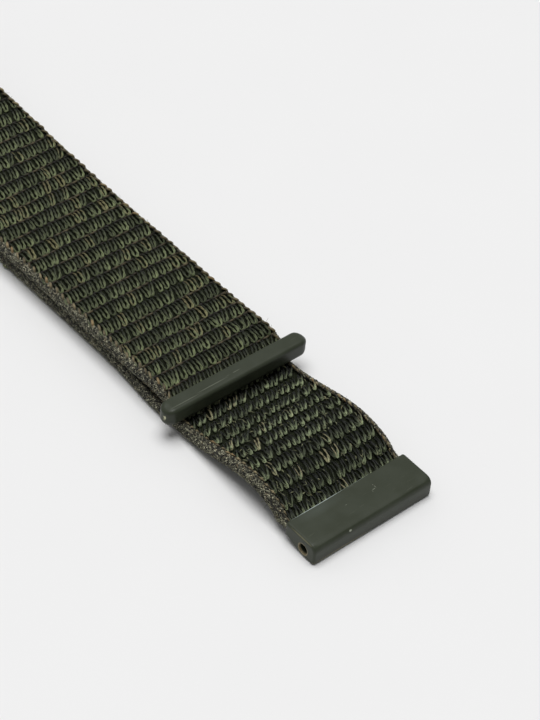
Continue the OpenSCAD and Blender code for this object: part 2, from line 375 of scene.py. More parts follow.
def directions(paths: np.ndarray) -> tuple[np.ndarray, np.ndarray]:
    """Sideways and upright directions square to many paths.

    Args:
        paths: Points, m paths by k points by 3.

    Returns:
        The level direction square to each tangent, and the one square to both.
    """
    tangent = np.gradient(paths, axis=1)
    tangent /= np.linalg.norm(tangent, axis=2, keepdims=True) + 1e-9
    side = np.cross(tangent, np.array([0.0, 0.0, 1.0]))
    side /= np.linalg.norm(side, axis=2, keepdims=True) + 1e-9
    return side, np.cross(side, tangent)


def distances(paths: np.ndarray) -> np.ndarray:
    """Distance along each path at each of its points, m by k."""
    steps = np.linalg.norm(np.diff(paths, axis=1), axis=2)
    return np.concatenate([np.zeros((len(paths), 1)), np.cumsum(steps, axis=1)], 1)


def tubes(paths: np.ndarray, radii: np.ndarray, tone: np.ndarray, lift: np.ndarray, sides: int = 6) -> Shell:
    """Sweeps a round section along many paths at once, with closed ends.

    A ring's points are path plus radius times (cosine of the angle times the sideways direction plus
    sine times the upright one), both square to the path.

    Args:
        paths: Points, m paths by k points by 3.
        radii: Radius at each point, m by k.
        tone: One shade a path, m.
        lift: Height share at each point, m by k.
        sides: Points round the section, 4 or 6.

    Returns:
        The tubes as one shell, in the coordinates of the paths.
    """
    m, k, _ = paths.shape
    side, upright = directions(paths)
    angle = np.arange(sides) * 2 * np.pi / sides
    ring = side[:, :, None] * np.cos(angle)[:, None] + upright[:, :, None] * np.sin(angle)[:, None]
    points = paths[:, :, None] + radii[:, :, None, None] * ring
    quads = grid_quads(k, sides, wrap_cols=True)
    fan = np.array([[0, 1, 2, 3]] if sides == 4 else [[0, 1, 2, 3], [0, 3, 4, 5]])
    quads = np.concatenate([quads, fan, fan[:, ::-1] + (k - 1) * sides])
    along = distances(paths)
    ki, ji = np.meshgrid(np.arange(k - 1), np.arange(sides), indexing="ij")
    u = np.stack([along[:, ki], along[:, ki + 1], along[:, ki + 1], along[:, ki]], -1)
    v = np.stack([ji, ji, ji + 1, ji + 1], -1)[None] / sides + np.zeros((m, 1, 1, 1))
    uv = np.stack([u, v], -1).reshape(m, -1, 2)
    uv = np.concatenate([uv, np.zeros((m, 8 * len(fan), 2))], 1)
    offsets = (np.arange(m) * k * sides)[:, None, None]
    return Shell(
        points.reshape(-1, 3),
        (quads[None] + offsets).reshape(-1, 4),
        uv.reshape(-1, 2),
        np.repeat(tone, k * sides),
        np.repeat(lift.reshape(m, k, 1), sides, axis=2).ravel(),
    )


def plied(paths: np.ndarray, radii: np.ndarray, lift: np.ndarray, rng: np.random.Generator) -> Shell:
    """Two plies wound round each path, as in a real yarn.

    A ply's centre is the path plus half a radius in a direction that turns with the distance along it.

    Args:
        paths: Points, m paths by k points by 3.
        radii: Radius of the whole yarn at each point, m by k.
        lift: Height share at each point, m by k.
        rng: Source of each yarn's shade and first angle.

    Returns:
        The plies as one shell.
    """
    turn_mm, ply_share = 2.2, 0.62
    side, upright = directions(paths)
    tone = rng.random(len(paths))
    phase = rng.uniform(0, 2 * np.pi, (len(paths), 1)) + distances(paths) * 2 * np.pi / turn_mm
    parts = []
    for half in (0.0, np.pi):
        way = np.cos(phase + half)[..., None] * side + np.sin(phase + half)[..., None] * upright
        shade = np.clip(tone + rng.normal(0, 0.12, len(paths)), 0, 1)
        parts.append(tubes(paths + 0.5 * radii[..., None] * way, radii * ply_share, shade, lift, 4))
    return Shell.joined(parts)


def closed_grid(points: np.ndarray, wrap_rows: bool, flip: bool = False) -> Shell:
    """Shell of one grid of points whose columns wrap round.

    Args:
        points: Rows by columns by 3.
        wrap_rows: Joins the last row to the first too.
        flip: Turns the faces round.

    Returns:
        The shell, mapped by arc length along and round.
    """
    rows, cols, _ = points.shape
    quads = grid_quads(rows, cols, wrap_rows, True)
    uv = np.stack([quads // cols, quads % cols], -1).astype(float)
    if flip:
        quads, uv = quads[:, ::-1], uv[:, ::-1]
    flat = points.reshape(-1, 3)
    return Shell(flat, quads, uv.reshape(-1, 2), np.full(len(flat), 0.5), np.full(len(flat), 0.5))


def oval(points: int, wide: float, thick: float) -> tuple[np.ndarray, np.ndarray]:
    """Superellipse of unit size: signed powers of the cosine and of the sine of even angles.

    Args:
        points: Points round it.
        wide: Power of the cosine.
        thick: Power of the sine.

    Returns:
        Places across and up.
    """
    a = np.arange(points) * 2 * np.pi / points
    across, up = np.cos(a), np.sin(a)
    return np.sign(across) * np.abs(across) ** wide, np.sign(up) * np.abs(up) ** thick


def arc(cx: float, cz: float, r: float, a0: float, a1: float, n: int = 8) -> np.ndarray:
    """Points of an arc in a side view: centre plus r times cosine and sine of n + 1 even angles.

    Args:
        cx: Centre along X.
        cz: Centre along Z.
        r: Radius.
        a0: First angle in degrees.
        a1: Last angle in degrees.
        n: Steps.

    Returns:
        Points, n + 1 by 2.
    """
    a = np.radians(np.linspace(a0, a1, n + 1))
    return np.stack([cx + r * np.cos(a), cz + r * np.sin(a)], -1)


def spaced(outline: np.ndarray, step: float, is_open: bool = False) -> np.ndarray:
    """Adds points on the long sides of an outline, so that no side is longer than step.

    Args:
        outline: Corner points in order.
        step: Longest side wanted.
        is_open: The last point isn't joined to the first.

    Returns:
        The denser outline.
    """
    parts = []
    ends = np.roll(outline, -1, axis=0)
    for a, b in zip(outline[:-1] if is_open else outline, ends):
        n = max(1, int(np.ceil(np.linalg.norm(b - a) / step)))
        parts.append(a + (b - a) * (np.arange(n) / n)[:, None])
    return np.concatenate([*parts, outline[-1:]] if is_open else parts)


def blunted(outline: np.ndarray, width: float, step: float = 0.25) -> np.ndarray:
    """Rounds the corners of a closed outline by averaging it over a short length.

    The outline is read off at even distances, each point becomes the mean of those within half the
    width on either side, and points a step apart are kept.

    Args:
        outline: Points in order.
        width: Length averaged over.
        step: Distance between the points kept.

    Returns:
        The softened outline.
    """
    ring = np.concatenate([outline, outline[:1]])
    along = np.concatenate([[0.0], np.cumsum(np.linalg.norm(np.diff(ring, axis=0), axis=1))])
    fine = 0.05
    each = max(2, int(round(step / fine)))
    count = int(along[-1] / step) * each
    places = np.arange(count) * along[-1] / count
    even = np.stack([np.interp(places, along, ring[:, k]) for k in range(2)], -1)
    reach = max(1, int(round(width / 2 / (along[-1] / count))))
    mean = sum(np.roll(even, shift, axis=0) for shift in range(-reach, reach + 1)) / (2 * reach + 1)
    return mean[::each]


def inward(outline: np.ndarray) -> np.ndarray:
    """Unit directions that point into a counter-clockwise closed outline, one a point.

    Args:
        outline: Points in order.

    Returns:
        Directions, the tangent turned a quarter to the left.
    """
    t = np.roll(outline, -1, axis=0) - np.roll(outline, 1, axis=0)
    t /= np.linalg.norm(t, axis=1)[:, None] + 1e-12
    return np.stack([-t[:, 1], t[:, 0]], -1)


# Finishes


def node(tree: Tree, kind: str, links: dict | None = None, **settings: object) -> bpy.types.Node:
    """Adds a node with its settings and what feeds it.

    Args:
        tree: The material's tree.
        kind: Node type without the ShaderNode prefix.
        links: Input name or number to a node, an output socket or a plain value. Of a node, the first
            output in use is taken.
        settings: Properties of the node.

    Returns:
        The new node.
    """
    made = tree.nodes.new("ShaderNode" + kind)
    for key, value in settings.items():
        setattr(made, key, value)
    for key, value in (links or {}).items():
        if isinstance(value, bpy.types.Node):
            value = next(output for output in value.outputs if output.enabled)
        if isinstance(value, bpy.types.NodeSocket):
            tree.links.new(value, made.inputs[key])
        else:
            made.inputs[key].default_value = value
    return made


def blank(name: str) -> tuple[bpy.types.Material, Tree]:
    """A new material with an empty tree.

    Args:
        name: Name of the finish.

    Returns:
        The material and its tree.
    """
    material = bpy.data.materials.new(name)
    material.use_nodes = True
    material.node_tree.nodes.clear()
    return material, material.node_tree


@dataclass(frozen=True)
class YarnFinish:
    """Spun-dyed nylon 66 yarn, many fine filaments with a little twist: a soft sheen along each strand."""

    name: str
    dark: str  # painted shade at the root
    body: str
    light: str  # of the palest strands, shown on their crowns as a painted highlight
    warm: str  # of the few brown ones
    roughness: float = 0.52
    sheen: float = 0.1
    warm_share: float = 0.03
    twist_mm: float = 0.9
    bands_round: int = 5
    groove_mm: float = 0.03
    speck_mm: float = 0.35
    speck_depth: float = 0.27
    blotch_mm: float = 6.0

    def material(self) -> bpy.types.Material:
        """Builds the nodes.

        The colour runs from the dark root to the body colour by each point's height share, a painted shade
        where the yarn goes down between the rows. Some strands lean to the light colour on their crowns,
        partly their own paler tone and partly a painted highlight, and a few to the warm one. Filaments are
        far finer than a render shows, so they are drawn about eight times too coarse, as bands that wind
        round the strand.

        Returns:
            The material.
        """
        material, tree = blank(self.name)
        tone = node(tree, "Attribute", attribute_name="tone").outputs["Fac"]
        lift = node(tree, "Attribute", attribute_name="lift").outputs["Fac"]
        split = node(tree, "SeparateXYZ", {0: node(tree, "UVMap", uv_map="Thread")})
        turn = node(tree, "Math", {0: split.outputs["X"], 1: 1 / self.twist_mm}, operation="MULTIPLY")
        wind = node(tree, "Math", {0: split.outputs["Y"], 1: turn}, operation="ADD")
        bands = node(tree, "Math", {0: wind, 1: 2 * math.pi * self.bands_round}, operation="MULTIPLY")
        wave = node(tree, "Math", {0: bands}, operation="SINE")
        place = node(tree, "TexCoord").outputs["Object"]
        fine = node(tree, "TexNoise", {"Vector": place, "Scale": 1 / (self.speck_mm * MM), "Detail": 2.0})
        broad = node(tree, "TexNoise", {"Vector": place, "Scale": 1 / (self.blotch_mm * MM), "Detail": 1.0})
        # painted shade and highlight: the lift value darkens each strand toward its root, and the light
        # colour shows only near the crown
        rise = node(tree, "MapRange", {0: lift, 1: 0.1, 2: 1.0}, interpolation_type="SMOOTHSTEP")
        base = node(tree, "Mix", {0: rise, 6: linear(self.dark), 7: linear(self.body)}, data_type="RGBA")
        pale = node(tree, "MapRange", {0: tone, 1: 0.0, 2: 0.9, 3: 0.1, 4: 1.0})
        ends = node(tree, "Math", {0: rise, 1: 2.0}, operation="POWER")
        crown = node(tree, "Math", {0: pale, 1: ends}, operation="MULTIPLY")
        base = node(tree, "Mix", {0: crown, 6: base, 7: linear(self.light)}, data_type="RGBA")
        brown = node(tree, "MapRange", {0: tone, 1: 1 - self.warm_share, 2: 1.0, 3: 0.0, 4: 0.6})
        base = node(tree, "Mix", {0: brown, 6: base, 7: linear(self.warm)}, data_type="RGBA")
        speck_range = {1: 0.3, 2: 0.7, 3: 1 - self.speck_depth, 4: 1 + self.speck_depth}
        speck = node(tree, "MapRange", {0: fine, **speck_range})
        drift = node(tree, "MapRange", {0: broad, 1: 0.3, 2: 0.7, 3: 0.9, 4: 1.1})
        shade = node(tree, "Math", {0: speck, 1: drift}, operation="MULTIPLY")
        grey = node(tree, "CombineColor", {0: shade, 1: shade, 2: shade})
        base = node(tree, "Mix", {0: 1.0, 6: base, 7: grey}, data_type="RGBA", blend_type="MULTIPLY")
        bump = node(tree, "Bump", {"Height": wave, "Strength": 0.35, "Distance": self.groove_mm * MM})
        links = {"Base Color": base, "Roughness": self.roughness, "IOR": 1.53, "Specular IOR Level": 0.3}
        links |= {"Sheen Weight": self.sheen, "Sheen Roughness": 0.4, "Normal": bump}
        node(tree, "OutputMaterial", {0: node(tree, "BsdfPrincipled", links)})
        return material


@dataclass(frozen=True)
class GroundFinish:
    """Tightly woven nylon ground: matt, with fine weft lines across the strap, coloured near black as painted
    shade for the deep gaps between the yarn rows.
    """

    name: str
    dark: str
    light: str
    weft_mm: float = 0.42
    warp_mm: float = 0.36
    mottle_mm: float = 0.5
    relief_mm: float = 0.08

    def material(self) -> bpy.types.Material:
        """Builds the nodes: crossed sine waves at the thread spacings give colour and bump.

        Returns:
            The material.
        """
        material, tree = blank(self.name)
        split = node(tree, "SeparateXYZ", {0: node(tree, "UVMap", uv_map="Thread")})
        waves = []
        for axis, pitch in (("X", self.weft_mm), ("Y", self.warp_mm)):
            angle = {0: split.outputs[axis], 1: 2 * math.pi / pitch}
            turned = node(tree, "Math", angle, operation="MULTIPLY")
            waves.append(node(tree, "Math", {0: turned}, operation="SINE"))
        woven = node(tree, "Math", {0: waves[0], 1: waves[1]}, operation="MULTIPLY")
        place = node(tree, "TexCoord").outputs["Object"]
        noise = node(tree, "TexNoise", {"Vector": place, "Scale": 1 / (self.mottle_mm * MM), "Detail": 3.0})
        height = node(tree, "Math", {0: woven, 1: noise}, operation="ADD")
        share = node(tree, "MapRange", {0: height, 1: -0.3, 2: 1.5})
        base = node(tree, "Mix", {0: share, 6: linear(self.dark), 7: linear(self.light)}, data_type="RGBA")
        bump = node(tree, "Bump", {"Height": height, "Strength": 0.6, "Distance": self.relief_mm * MM})
        links = {"Base Color": base, "Roughness": 0.8, "Specular IOR Level": 0.1, "Normal": bump}
        node(tree, "OutputMaterial", {0: node(tree, "BsdfPrincipled", links)})
        return material


@dataclass(frozen=True)
class Mark:
    """A pale spot, scratch, seam or painted highlight on a moulding: a stretched ball of another colour, in
    millimetres.
    """

    centre: Point
    size: Point
    colour: str
    share: float = 1.0
    soft: float = 0.6
    broken: bool = False


@dataclass(frozen=True)
class PlasticFinish:
    """Injection-moulded nylon 6, spark-eroded satin mould: even soft gloss, faint rub marks."""

    name: str
    marks: tuple[Mark, ...] = ()
    colour: str = "#373c30"
    shade: str = "#32372a"
    rubbed: str = "#7c806f"
    roughness: float = 0.4
    gloss: float = 0.25
    grain_mm: float = 0.18
    grain_depth_mm: float = 0.02
    cloud_mm: float = 3.5
    scratch_mm: float = 0.22
    patch_mm: float = 0.9

    def material(self) -> bpy.types.Material:
        """Builds the nodes: a fine mould grain, slow mottling, thin scratches and a few pale marks, some of
        them painted highlights.

        A mark shows where the distance from its centre, each axis divided by the mark's size, is under
        one. A broken mark shows only where a noise is high. The real grain is a few hundredths of a
        millimetre, too fine to show, so it is drawn coarser.

        Returns:
            The material.
        """
        material, tree = blank(self.name)
        place = node(tree, "TexCoord").outputs["Object"]
        grain = node(tree, "TexNoise", {"Vector": place, "Scale": 1 / (self.grain_mm * MM), "Detail": 2.0})
        cloud = node(tree, "TexNoise", {"Vector": place, "Scale": 1 / (self.cloud_mm * MM), "Detail": 3.0})
        turned = node(tree, "Mapping", {0: place, "Rotation": (0.0, 0.0, 0.6), "Scale": (1.0, 0.08, 1.0)})
        lines = {"Vector": turned, "Scale": 1 / (self.scratch_mm * MM), "Detail": 1.0}
        scratch = node(tree, "TexNoise", lines)
        spread = node(tree, "MapRange", {0: cloud, 1: 0.35, 2: 0.65})
        base = node(tree, "Mix", {0: spread, 6: linear(self.shade), 7: linear(self.colour)}, data_type="RGBA")
        thin = node(tree, "MapRange", {0: scratch, 1: 0.71, 2: 0.78, 3: 0.0, 4: 0.09})
        base = node(tree, "Mix", {0: thin, 6: base, 7: linear(self.rubbed)}, data_type="RGBA")
        patchy = node(tree, "TexNoise", {"Vector": place, "Scale": 1 / (self.patch_mm * MM), "Detail": 2.0})
        gaps = node(tree, "MapRange", {0: patchy, 1: 0.42, 2: 0.6})
        for mark in self.marks:
            centre = tuple(v * MM for v in mark.centre)
            stretch = tuple(1 / (v * MM) for v in mark.size)
            away = node(tree, "VectorMath", {0: place, 1: centre}, operation="SUBTRACT")
            scaled = node(tree, "VectorMath", {0: away, 1: stretch}, operation="MULTIPLY")
            gap = node(tree, "VectorMath", {0: scaled}, operation="LENGTH")
            share = node(tree, "MapRange", {0: gap, 1: 1.0, 2: 1 - mark.soft, 3: 0.0, 4: mark.share})
            if mark.broken:
                share = node(tree, "Math", {0: share, 1: gaps}, operation="MULTIPLY")
            base = node(tree, "Mix", {0: share, 6: base, 7: linear(mark.colour)}, data_type="RGBA")
        gloss = node(tree, "MapRange", {0: cloud, 3: self.roughness - 0.05, 4: self.roughness + 0.07})
        bump = node(tree, "Bump", {"Height": grain, "Strength": 0.25, "Distance": self.grain_depth_mm * MM})
        links = {"Base Color": base, "Roughness": gloss, "Specular IOR Level": self.gloss, "Normal": bump}
        node(tree, "OutputMaterial", {0: node(tree, "BsdfPrincipled", links)})
        return material


PALE, RIM_HIGHLIGHT, GLINT = "#a9ad9c", "#857a60", "#bcc8c6"

# Painted highlights on the lips of the bore, along the connector's rear top edge, on the top beside that edge
# and along the rounded foot of its front; a rubbed line along the top edge of its left end, and specks on its
# top
NEAR_MARKS = (
    # painted highlight on the lip of each of the bore's two mouths
    Mark((70.28, -11.0, 1.45), (1.06, 0.6, 1.06), RIM_HIGHLIGHT, 0.9, 0.1),
    Mark((70.28, 11.0, 1.45), (1.06, 0.6, 1.06), RIM_HIGHLIGHT, 0.9, 0.1),
    # painted highlight along the rounded rear top edge, lit from behind
    Mark((66.53, -5.1, 3.4), (0.2, 5.6, 0.22), GLINT, 0.9, 0.5),
    # painted highlight along the rounded foot of the front face
    Mark((72.5, -6.0, 0.45), (0.5, 7.0, 0.14), "#9c9470", 0.8, 0.9),
    Mark((69.9, -10.95, 3.35), (3.0, 0.14, 0.16), "#8a876c", 0.45, 0.6),
    # fainter painted highlight further along the rear top edge
    Mark((66.52, 2.0, 3.4), (0.15, 3.0, 0.18), GLINT, 0.3, 0.7),
    # painted soft glare on the top beside the rear edge
    Mark((67.3, -5.6, 3.5), (1.1, 5.0, 0.4), "#4f564f", 0.4, 1.0),
    Mark((72.5, -4.4, 2.9), (0.12, 0.3, 0.3), PALE, 0.9),
    Mark((69.1, 2.9, 3.5), (0.06, 0.35, 0.2), PALE, 0.5),
    Mark((68.85, 3.35, 3.5), (0.3, 0.06, 0.2), PALE, 0.35),
    Mark((69.3, 2.5, 3.5), (0.2, 0.05, 0.2), PALE, 0.3),
    Mark((68.4, 3.3, 3.5), (0.05, 0.12, 0.2), PALE, 0.4),
    Mark((69.0, -2.2, 3.5), (0.05, 0.2, 0.2), PALE, 0.35),
)

# The nick at the bar's left end, and three stretches of its mould seam, drawn as pale lines that paint the
# highlight on the seam's ridge
BAR_MARKS = (
    Mark((42.0, -12.8, 4.7), (0.32, 0.4, 0.65), "#d8d8b0", 1.0, 0.4, True),
    # pale lines: painted highlight along the mould seam, which the mesh has no ridge for
    Mark((42.3, -9.5, 6.1), (0.06, 3.4, 0.2), PALE, 0.22, 0.5),
    Mark((42.05, -4.2, 6.1), (0.06, 3.2, 0.2), PALE, 0.28, 0.5),
    Mark((41.85, 0.0, 6.1), (0.07, 1.9, 0.2), PALE, 0.5, 0.5, True),
)


@dataclass
class Finishes:
    """Every finish of the strap, made once."""

    rib: bpy.types.Material
    loop: bpy.types.Material
    edge: bpy.types.Material
    binding: bpy.types.Material
    fuzz: bpy.types.Material
    ground: bpy.types.Material
    hook: bpy.types.Material
    near_plastic: bpy.types.Material
    stop_plastic: bpy.types.Material
    far_plastic: bpy.types.Material

    @staticmethod
    def made() -> "Finishes":
        """Makes the materials of all the pieces, a yarn's shades from the painted shade at its root to its
        warm strands.

        Returns:
            The finishes.
        """
        rib = YarnFinish("rib_nylon_yarn", "#11150a", "#3c432a", "#858f65", "#7d7450")
        loop = YarnFinish(
            "loop_nylon_yarn", "#0d110a", "#353c27", "#9ca880", "#9a9270",
            roughness=0.58, speck_mm=0.22, speck_depth=0.5,
        )
        edge = YarnFinish(
            "edge_nylon_thread", "#14130e", "#595845", "#b4b299", "#94866a",
            roughness=0.6, warm_share=0.08, speck_mm=0.17, speck_depth=0.75,
        )
        binding = YarnFinish(
            "binding_nylon_thread", "#17130c", "#4f4631", "#8b8061", "#84683f",
            roughness=0.5, warm_share=0.2,
        )
        fuzz = YarnFinish("loose_nylon_fibre", "#15170e", "#4c503a", "#8e8f6c", "#94835c", roughness=0.6)
        # near-black ground colours: painted shade between the yarn rows
        ground = GroundFinish("woven_nylon_ground", "#0e1009", "#2b3020")
        hook = YarnFinish(
            "hook_tape_nylon", "#10110d", "#24271f", "#3c4034", "#33342a", roughness=0.4, sheen=0.0
        )
        near = PlasticFinish("near_connector_nylon", NEAR_MARKS)
        stop = PlasticFinish("stop_bar_nylon", BAR_MARKS)
        far = PlasticFinish("far_connector_nylon")
        ordered = (rib, loop, edge, binding, fuzz, ground, hook, near, stop, far)
        return Finishes(*(finish.material() for finish in ordered))


# Webbing


@dataclass
class YarnRows:
    """Rows of yarn legs that stand on one face of the ground.

    Each yarn comes up out of the ground, runs over the row and turns back beside itself in a rounded end.
    """

    face: Face
    height: float  # top of the rows above the ground
    pitch: float  # from row to row
    pair_pitch: float  # from yarn to yarn along a row
    leg_space: float  # between a yarn's two legs
    radius: float  # of the whole yarn
    reach: float  # length of a leg as a share of the pitch
    slant: float  # of the legs, in degrees
    sunk: float  # share by which the left leg lies lower
    loose: float  # how much the yarns differ
    fade: float  # power with which the colour rises out of the painted shade at the root
    stand: float  # share of the leg over which it comes up
    knot: float  # how much thicker the turn is
    turn: tuple[float, ...]  # sideways places of the leg from its root to its turn
    uneven: float = 0.04  # how much the lengths differ
    dive: float = 0.25  # how far the turn dips again
    dull: float = 0.0  # how much painted shade darkens the turn
    root: float = 0.15  # how deep in the ground a leg starts

    @staticmethod
    def ribs(sizes: StrapSizes) -> "YarnRows":
        """Neat, close legs of the ribbed face, with square turns."""
        return YarnRows(
            Face.RIB, sizes.rib_t, sizes.rib_pitch, pair_pitch=1.28, leg_space=0.63, radius=0.185, reach=1.04,
            slant=15.0, sunk=0.2, loose=1.1, fade=1.0, stand=0.5, knot=0.2,
            turn=(-1.0, -1.0, -1.0, -1.0, -1.04, -1.04, -0.65), uneven=0.022, dive=0.45, dull=0.15,
        )

    @staticmethod
    def loops(sizes: StrapSizes, slant: float) -> "YarnRows":
        """Thinner, looser legs of the loop face, drawn together at the turn."""
        return YarnRows(
            Face.LOOP, sizes.loop_t, sizes.loop_pitch, pair_pitch=1.0, leg_space=0.55, radius=0.14, reach=1.1,
            slant=slant, sunk=0.35, loose=1.4, fade=1.7, stand=0.6, knot=0.5,
            turn=(-1.2, -1.15, -1.05, -0.95, -0.8, -0.55, -0.2),
        )

    def shell(self, centres: np.ndarray, half_w: float, core: float, rng: np.random.Generator) -> Shell:
        """Works out all the rows.

        Along a yarn, t runs from 0 to 1 and back: s is the row's centre plus the leg's reach, y drifts
        by the slant and steps over by the leg space at the turn, and c rises on a quarter sine and dips
        again at the turn. The leg on the left lies lower by the sunk share.

        Args:
            centres: Path distance of each row's middle.
            half_w: Half of the width that the rows cover.
            core: Half of the ground's thickness.
            rng: Source of the small differences.

        Returns:
            The rows in webbing coordinates.
        """
        pairs = int(round(2 * half_w / self.pair_pitch))
        step = 2 * half_w / pairs
        row, pair = np.meshgrid(centres, (np.arange(pairs) + 0.5) * step - half_w, indexing="ij")
        shift = rng.uniform(-0.3, 0.3, (len(centres), 1)) * step + rng.normal(0, 0.04 * step, pair.shape)
        row, pair = row.ravel(), (pair + shift).ravel()
        t = np.array([0.0, 0.16, 0.34, 0.54, 0.74, 0.9, 1.0])  # closer together toward the turn
        side = np.array(self.turn) * 0.5
        t, side = np.concatenate([t, t[::-1]]), np.concatenate([side, -side[::-1]])
        rise = np.sin(np.clip(t / self.stand, 0, 1) * np.pi / 2) - self.dive * ease((t - 0.8) / 0.2)

        def loose(scale: float) -> np.ndarray:
            """One small random number a yarn."""
            return rng.normal(0, scale * self.loose, len(row))[:, None]

        length = self.pitch * self.reach * (1 + loose(self.uneven))
        forward = (t[None] - 0.5) * length + loose(self.uneven)
        lean = np.tan(np.radians(self.slant)) + loose(0.1)
        sign = 1.0 if self.face is Face.RIB else -1.0
        s = row[:, None] + sign * forward
        spread = self.leg_space * (1 + loose(0.12))
        y = pair[:, None] + side[None] * spread + loose(0.05) - lean * forward
        low = (0.5 - side[None]) * self.sunk * (1 + loose(0.2))
        top = core + self.height * (1 + loose(0.04)).clip(0.6, 1.1) - self.radius
        c = core - self.root + (top - core + self.root) * rise[None] * (1 - low)
        swell = 0.7 + 0.3 * np.clip(t / 0.3, 0, 1) + self.knot * ease((t - 0.55) / 0.4)
        radii = self.radius * swell[None] * (1 + loose(0.06)) * (1 - 0.3 * low)
        paths = np.stack([s, y, sign * c], -1)
        # lift paints shade: dark at the roots, darker on the sunk leg, and dimmed at the turn by dull
        dim = 1 - self.dull * ease((t - 0.65) / 0.35)
        lift = (t[None] * (1 - 0.6 * low)).clip(0, 1) ** self.fade * dim
        return plied(paths, radii, lift, rng)


@dataclass
class Selvedge:
    """Woven edge: fine slanting threads round the side and a warm binding thread along each face."""

    column: float = 0.32  # thread spacing along the strap
    stagger: float = 0.25  # share of it by which every other round row is shifted
    tilt: float = 0.2  # of a thread, in radians
    stroke: float = 0.52
    radius: float = 0.095
    rows_round: int = 14
    bulge: float = 0.62
    fill: float = 0.66  # share of each face's height that the edge has
    low_deg: float = -112.0
    high_deg: float = 72.0
    stitch_r: float = 0.21
    tucked_r: float = 0.14
    tucked_in: float = 0.22

    def shell(
        self, s0: float, s1: float, sizes: StrapSizes, rng: np.random.Generator, proud: float
    ) -> tuple[Shell, Shell]:
        """Works out both edges.

        Args:
            s0: Path distance of the edge's start.
            s1: Path distance of its end.
            sizes: The strap's sizes.
            rng: Source of the small differences.
            proud: How far the ribbed face's binding stands out.

        Returns:
            The fine threads and the binding threads, in webbing coordinates.
        """
        up, down = (sizes.core_t / 2 + face_t * self.fill for face_t in (sizes.rib_t, sizes.loop_t))
        middle = sizes.web_w / 2 - self.radius - self.bulge + 0.03
        rib_r = self.stitch_r if proud > 0 else self.tucked_r
        fine, bound = [], []
        for sign in (-1.0, 1.0):
            fine.append(self.threads(s0, s1, (sign, middle), (up, down), rng))
            for face, pitch, high in ((Face.RIB, sizes.rib_pitch, up), (Face.LOOP, sizes.loop_pitch, down)):
                step = pitch / 2
                centres = np.arange(s0 + step / 2, s1, step)
                place, size = (proud, rib_r) if face is Face.RIB else (-self.tucked_in, self.stitch_r)
                bound.append(self.stitches(face, centres, step, (sign, middle + place, high), size, rng))
        return Shell.joined(fine), Shell.joined(bound)

    def threads(
        self, s0: float, s1: float, side: tuple[float, float], heights: tuple[float, float],
        rng: np.random.Generator,
    ) -> Shell:
        """The fine threads of one edge.

        A thread is a short stroke on a flattened half ellipse in y and c, tilted one way in one round
        row and the other way in the next.

        Args:
            s0: Path distance of the edge's start.
            s1: Path distance of its end.
            side: Sign of y and the ellipse's middle.
            heights: The ellipse's height toward the ribbed face and toward the loop face.
            rng: Source of the small differences.

        Returns:
            The threads in webbing coordinates.
        """
        sign, middle = side
        t = np.linspace(-0.5, 0.5, 3)[None]
        s, a = np.meshgrid(
            np.linspace(s0 + 0.1, s1 - 0.1, max(2, round((s1 - s0) / self.column))),
            np.radians(np.linspace(self.low_deg, self.high_deg, self.rows_round)),
            indexing="ij",
        )
        odd = np.where(np.arange(self.rows_round) % 2 == 0, 1.0, -1.0)[None] + 0 * s
        s = (s + self.stagger * self.column * odd + rng.normal(0, 0.05, s.shape)).ravel()[:, None]
        a, odd = a.ravel()[:, None], odd.ravel()[:, None]
        m = len(s)
        a = a + (self.tilt * odd + rng.normal(0, 0.12, (m, 1))) * 2 * t
        high = np.where(np.sin(a) > 0, *heights)
        out = 1 + 0.1 * np.cos(np.pi * t) - 0.07 + rng.normal(0, 0.03, (m, 1))
        y = sign * (middle + self.bulge * np.cos(a) * out)
        paths = np.stack([s + self.stroke * t + 0 * a, y, high * np.sin(a) * out], -1)
        radii = self.radius * (1 - 1.1 * np.abs(t) ** 2) * (1 + rng.normal(0, 0.1, (m, 1)))
        # lift values paint shade: dim at each thread's ends and on the side toward the loop face, with a
        # random share
        height = (0.3 + 0.7 * np.cos(np.pi * t)) * rng.uniform(0.25, 1.1, (m, 1))
        height = height * (1 - 0.15 * ease((-a - 0.8) / 0.6))
        return tubes(paths, radii, rng.random(m), height, 4)

    def stitches(
        self, face: Face, centres: np.ndarray, step: float, place: tuple[float, float, float], size: float,
        rng: np.random.Generator,
    ) -> Shell:
        """The binding thread of one edge and face, as two short stitches a row.

        A stitch runs slantwise along the edge with its middle raised by a cosine. On the ribbed face it
        dips at its end, and on the loop face its middle is a small knot.

        Args:
            face: The face that it lies on.
            centres: Path distance of each stitch's middle.
            step: Their spacing.
            place: Sign of y, then the thread's place across and its height.
            size: Radius of the thread.
            rng: Source of the small differences.

        Returns:
            The stitches in webbing coordinates.
        """
        ribbed = face is Face.RIB
        sign, across, high = place
        k = np.linspace(-0.5, 0.5, 9)[None]
        n = len(centres)
        along = centres[:, None] + k * step * rng.uniform(0.75, 1.0, (n, 1)) + rng.normal(0, 0.12, (n, 1))
        out_by = across + (0.6 if ribbed else 0.25) * np.minimum(k, 0.25) + rng.normal(0, 0.07, (n, 1))
        over = high + 0.02 + 0.16 * np.cos(np.pi * k) - 0.4 * ease((k - 0.2) / 0.3) * ribbed
        stitch = np.stack([along, sign * out_by, (1.0 if ribbed else -1.0) * over + 0 * along], -1)
        knot = 1 - 0.9 * k**2 if ribbed else 0.45 + 0.55 * np.exp(-((k / 0.14) ** 2))
        radii = size * knot * rng.uniform(0.8, 1.1, (n, 1))
        # lift values paint light: the raised middle of a stitch lighter, its dipping ends in shade
        height = 0.3 + 0.7 * np.cos(np.pi * k) * rng.uniform(0.5, 1.0, (n, 1))
        return tubes(stitch, radii, rng.random(n), height)


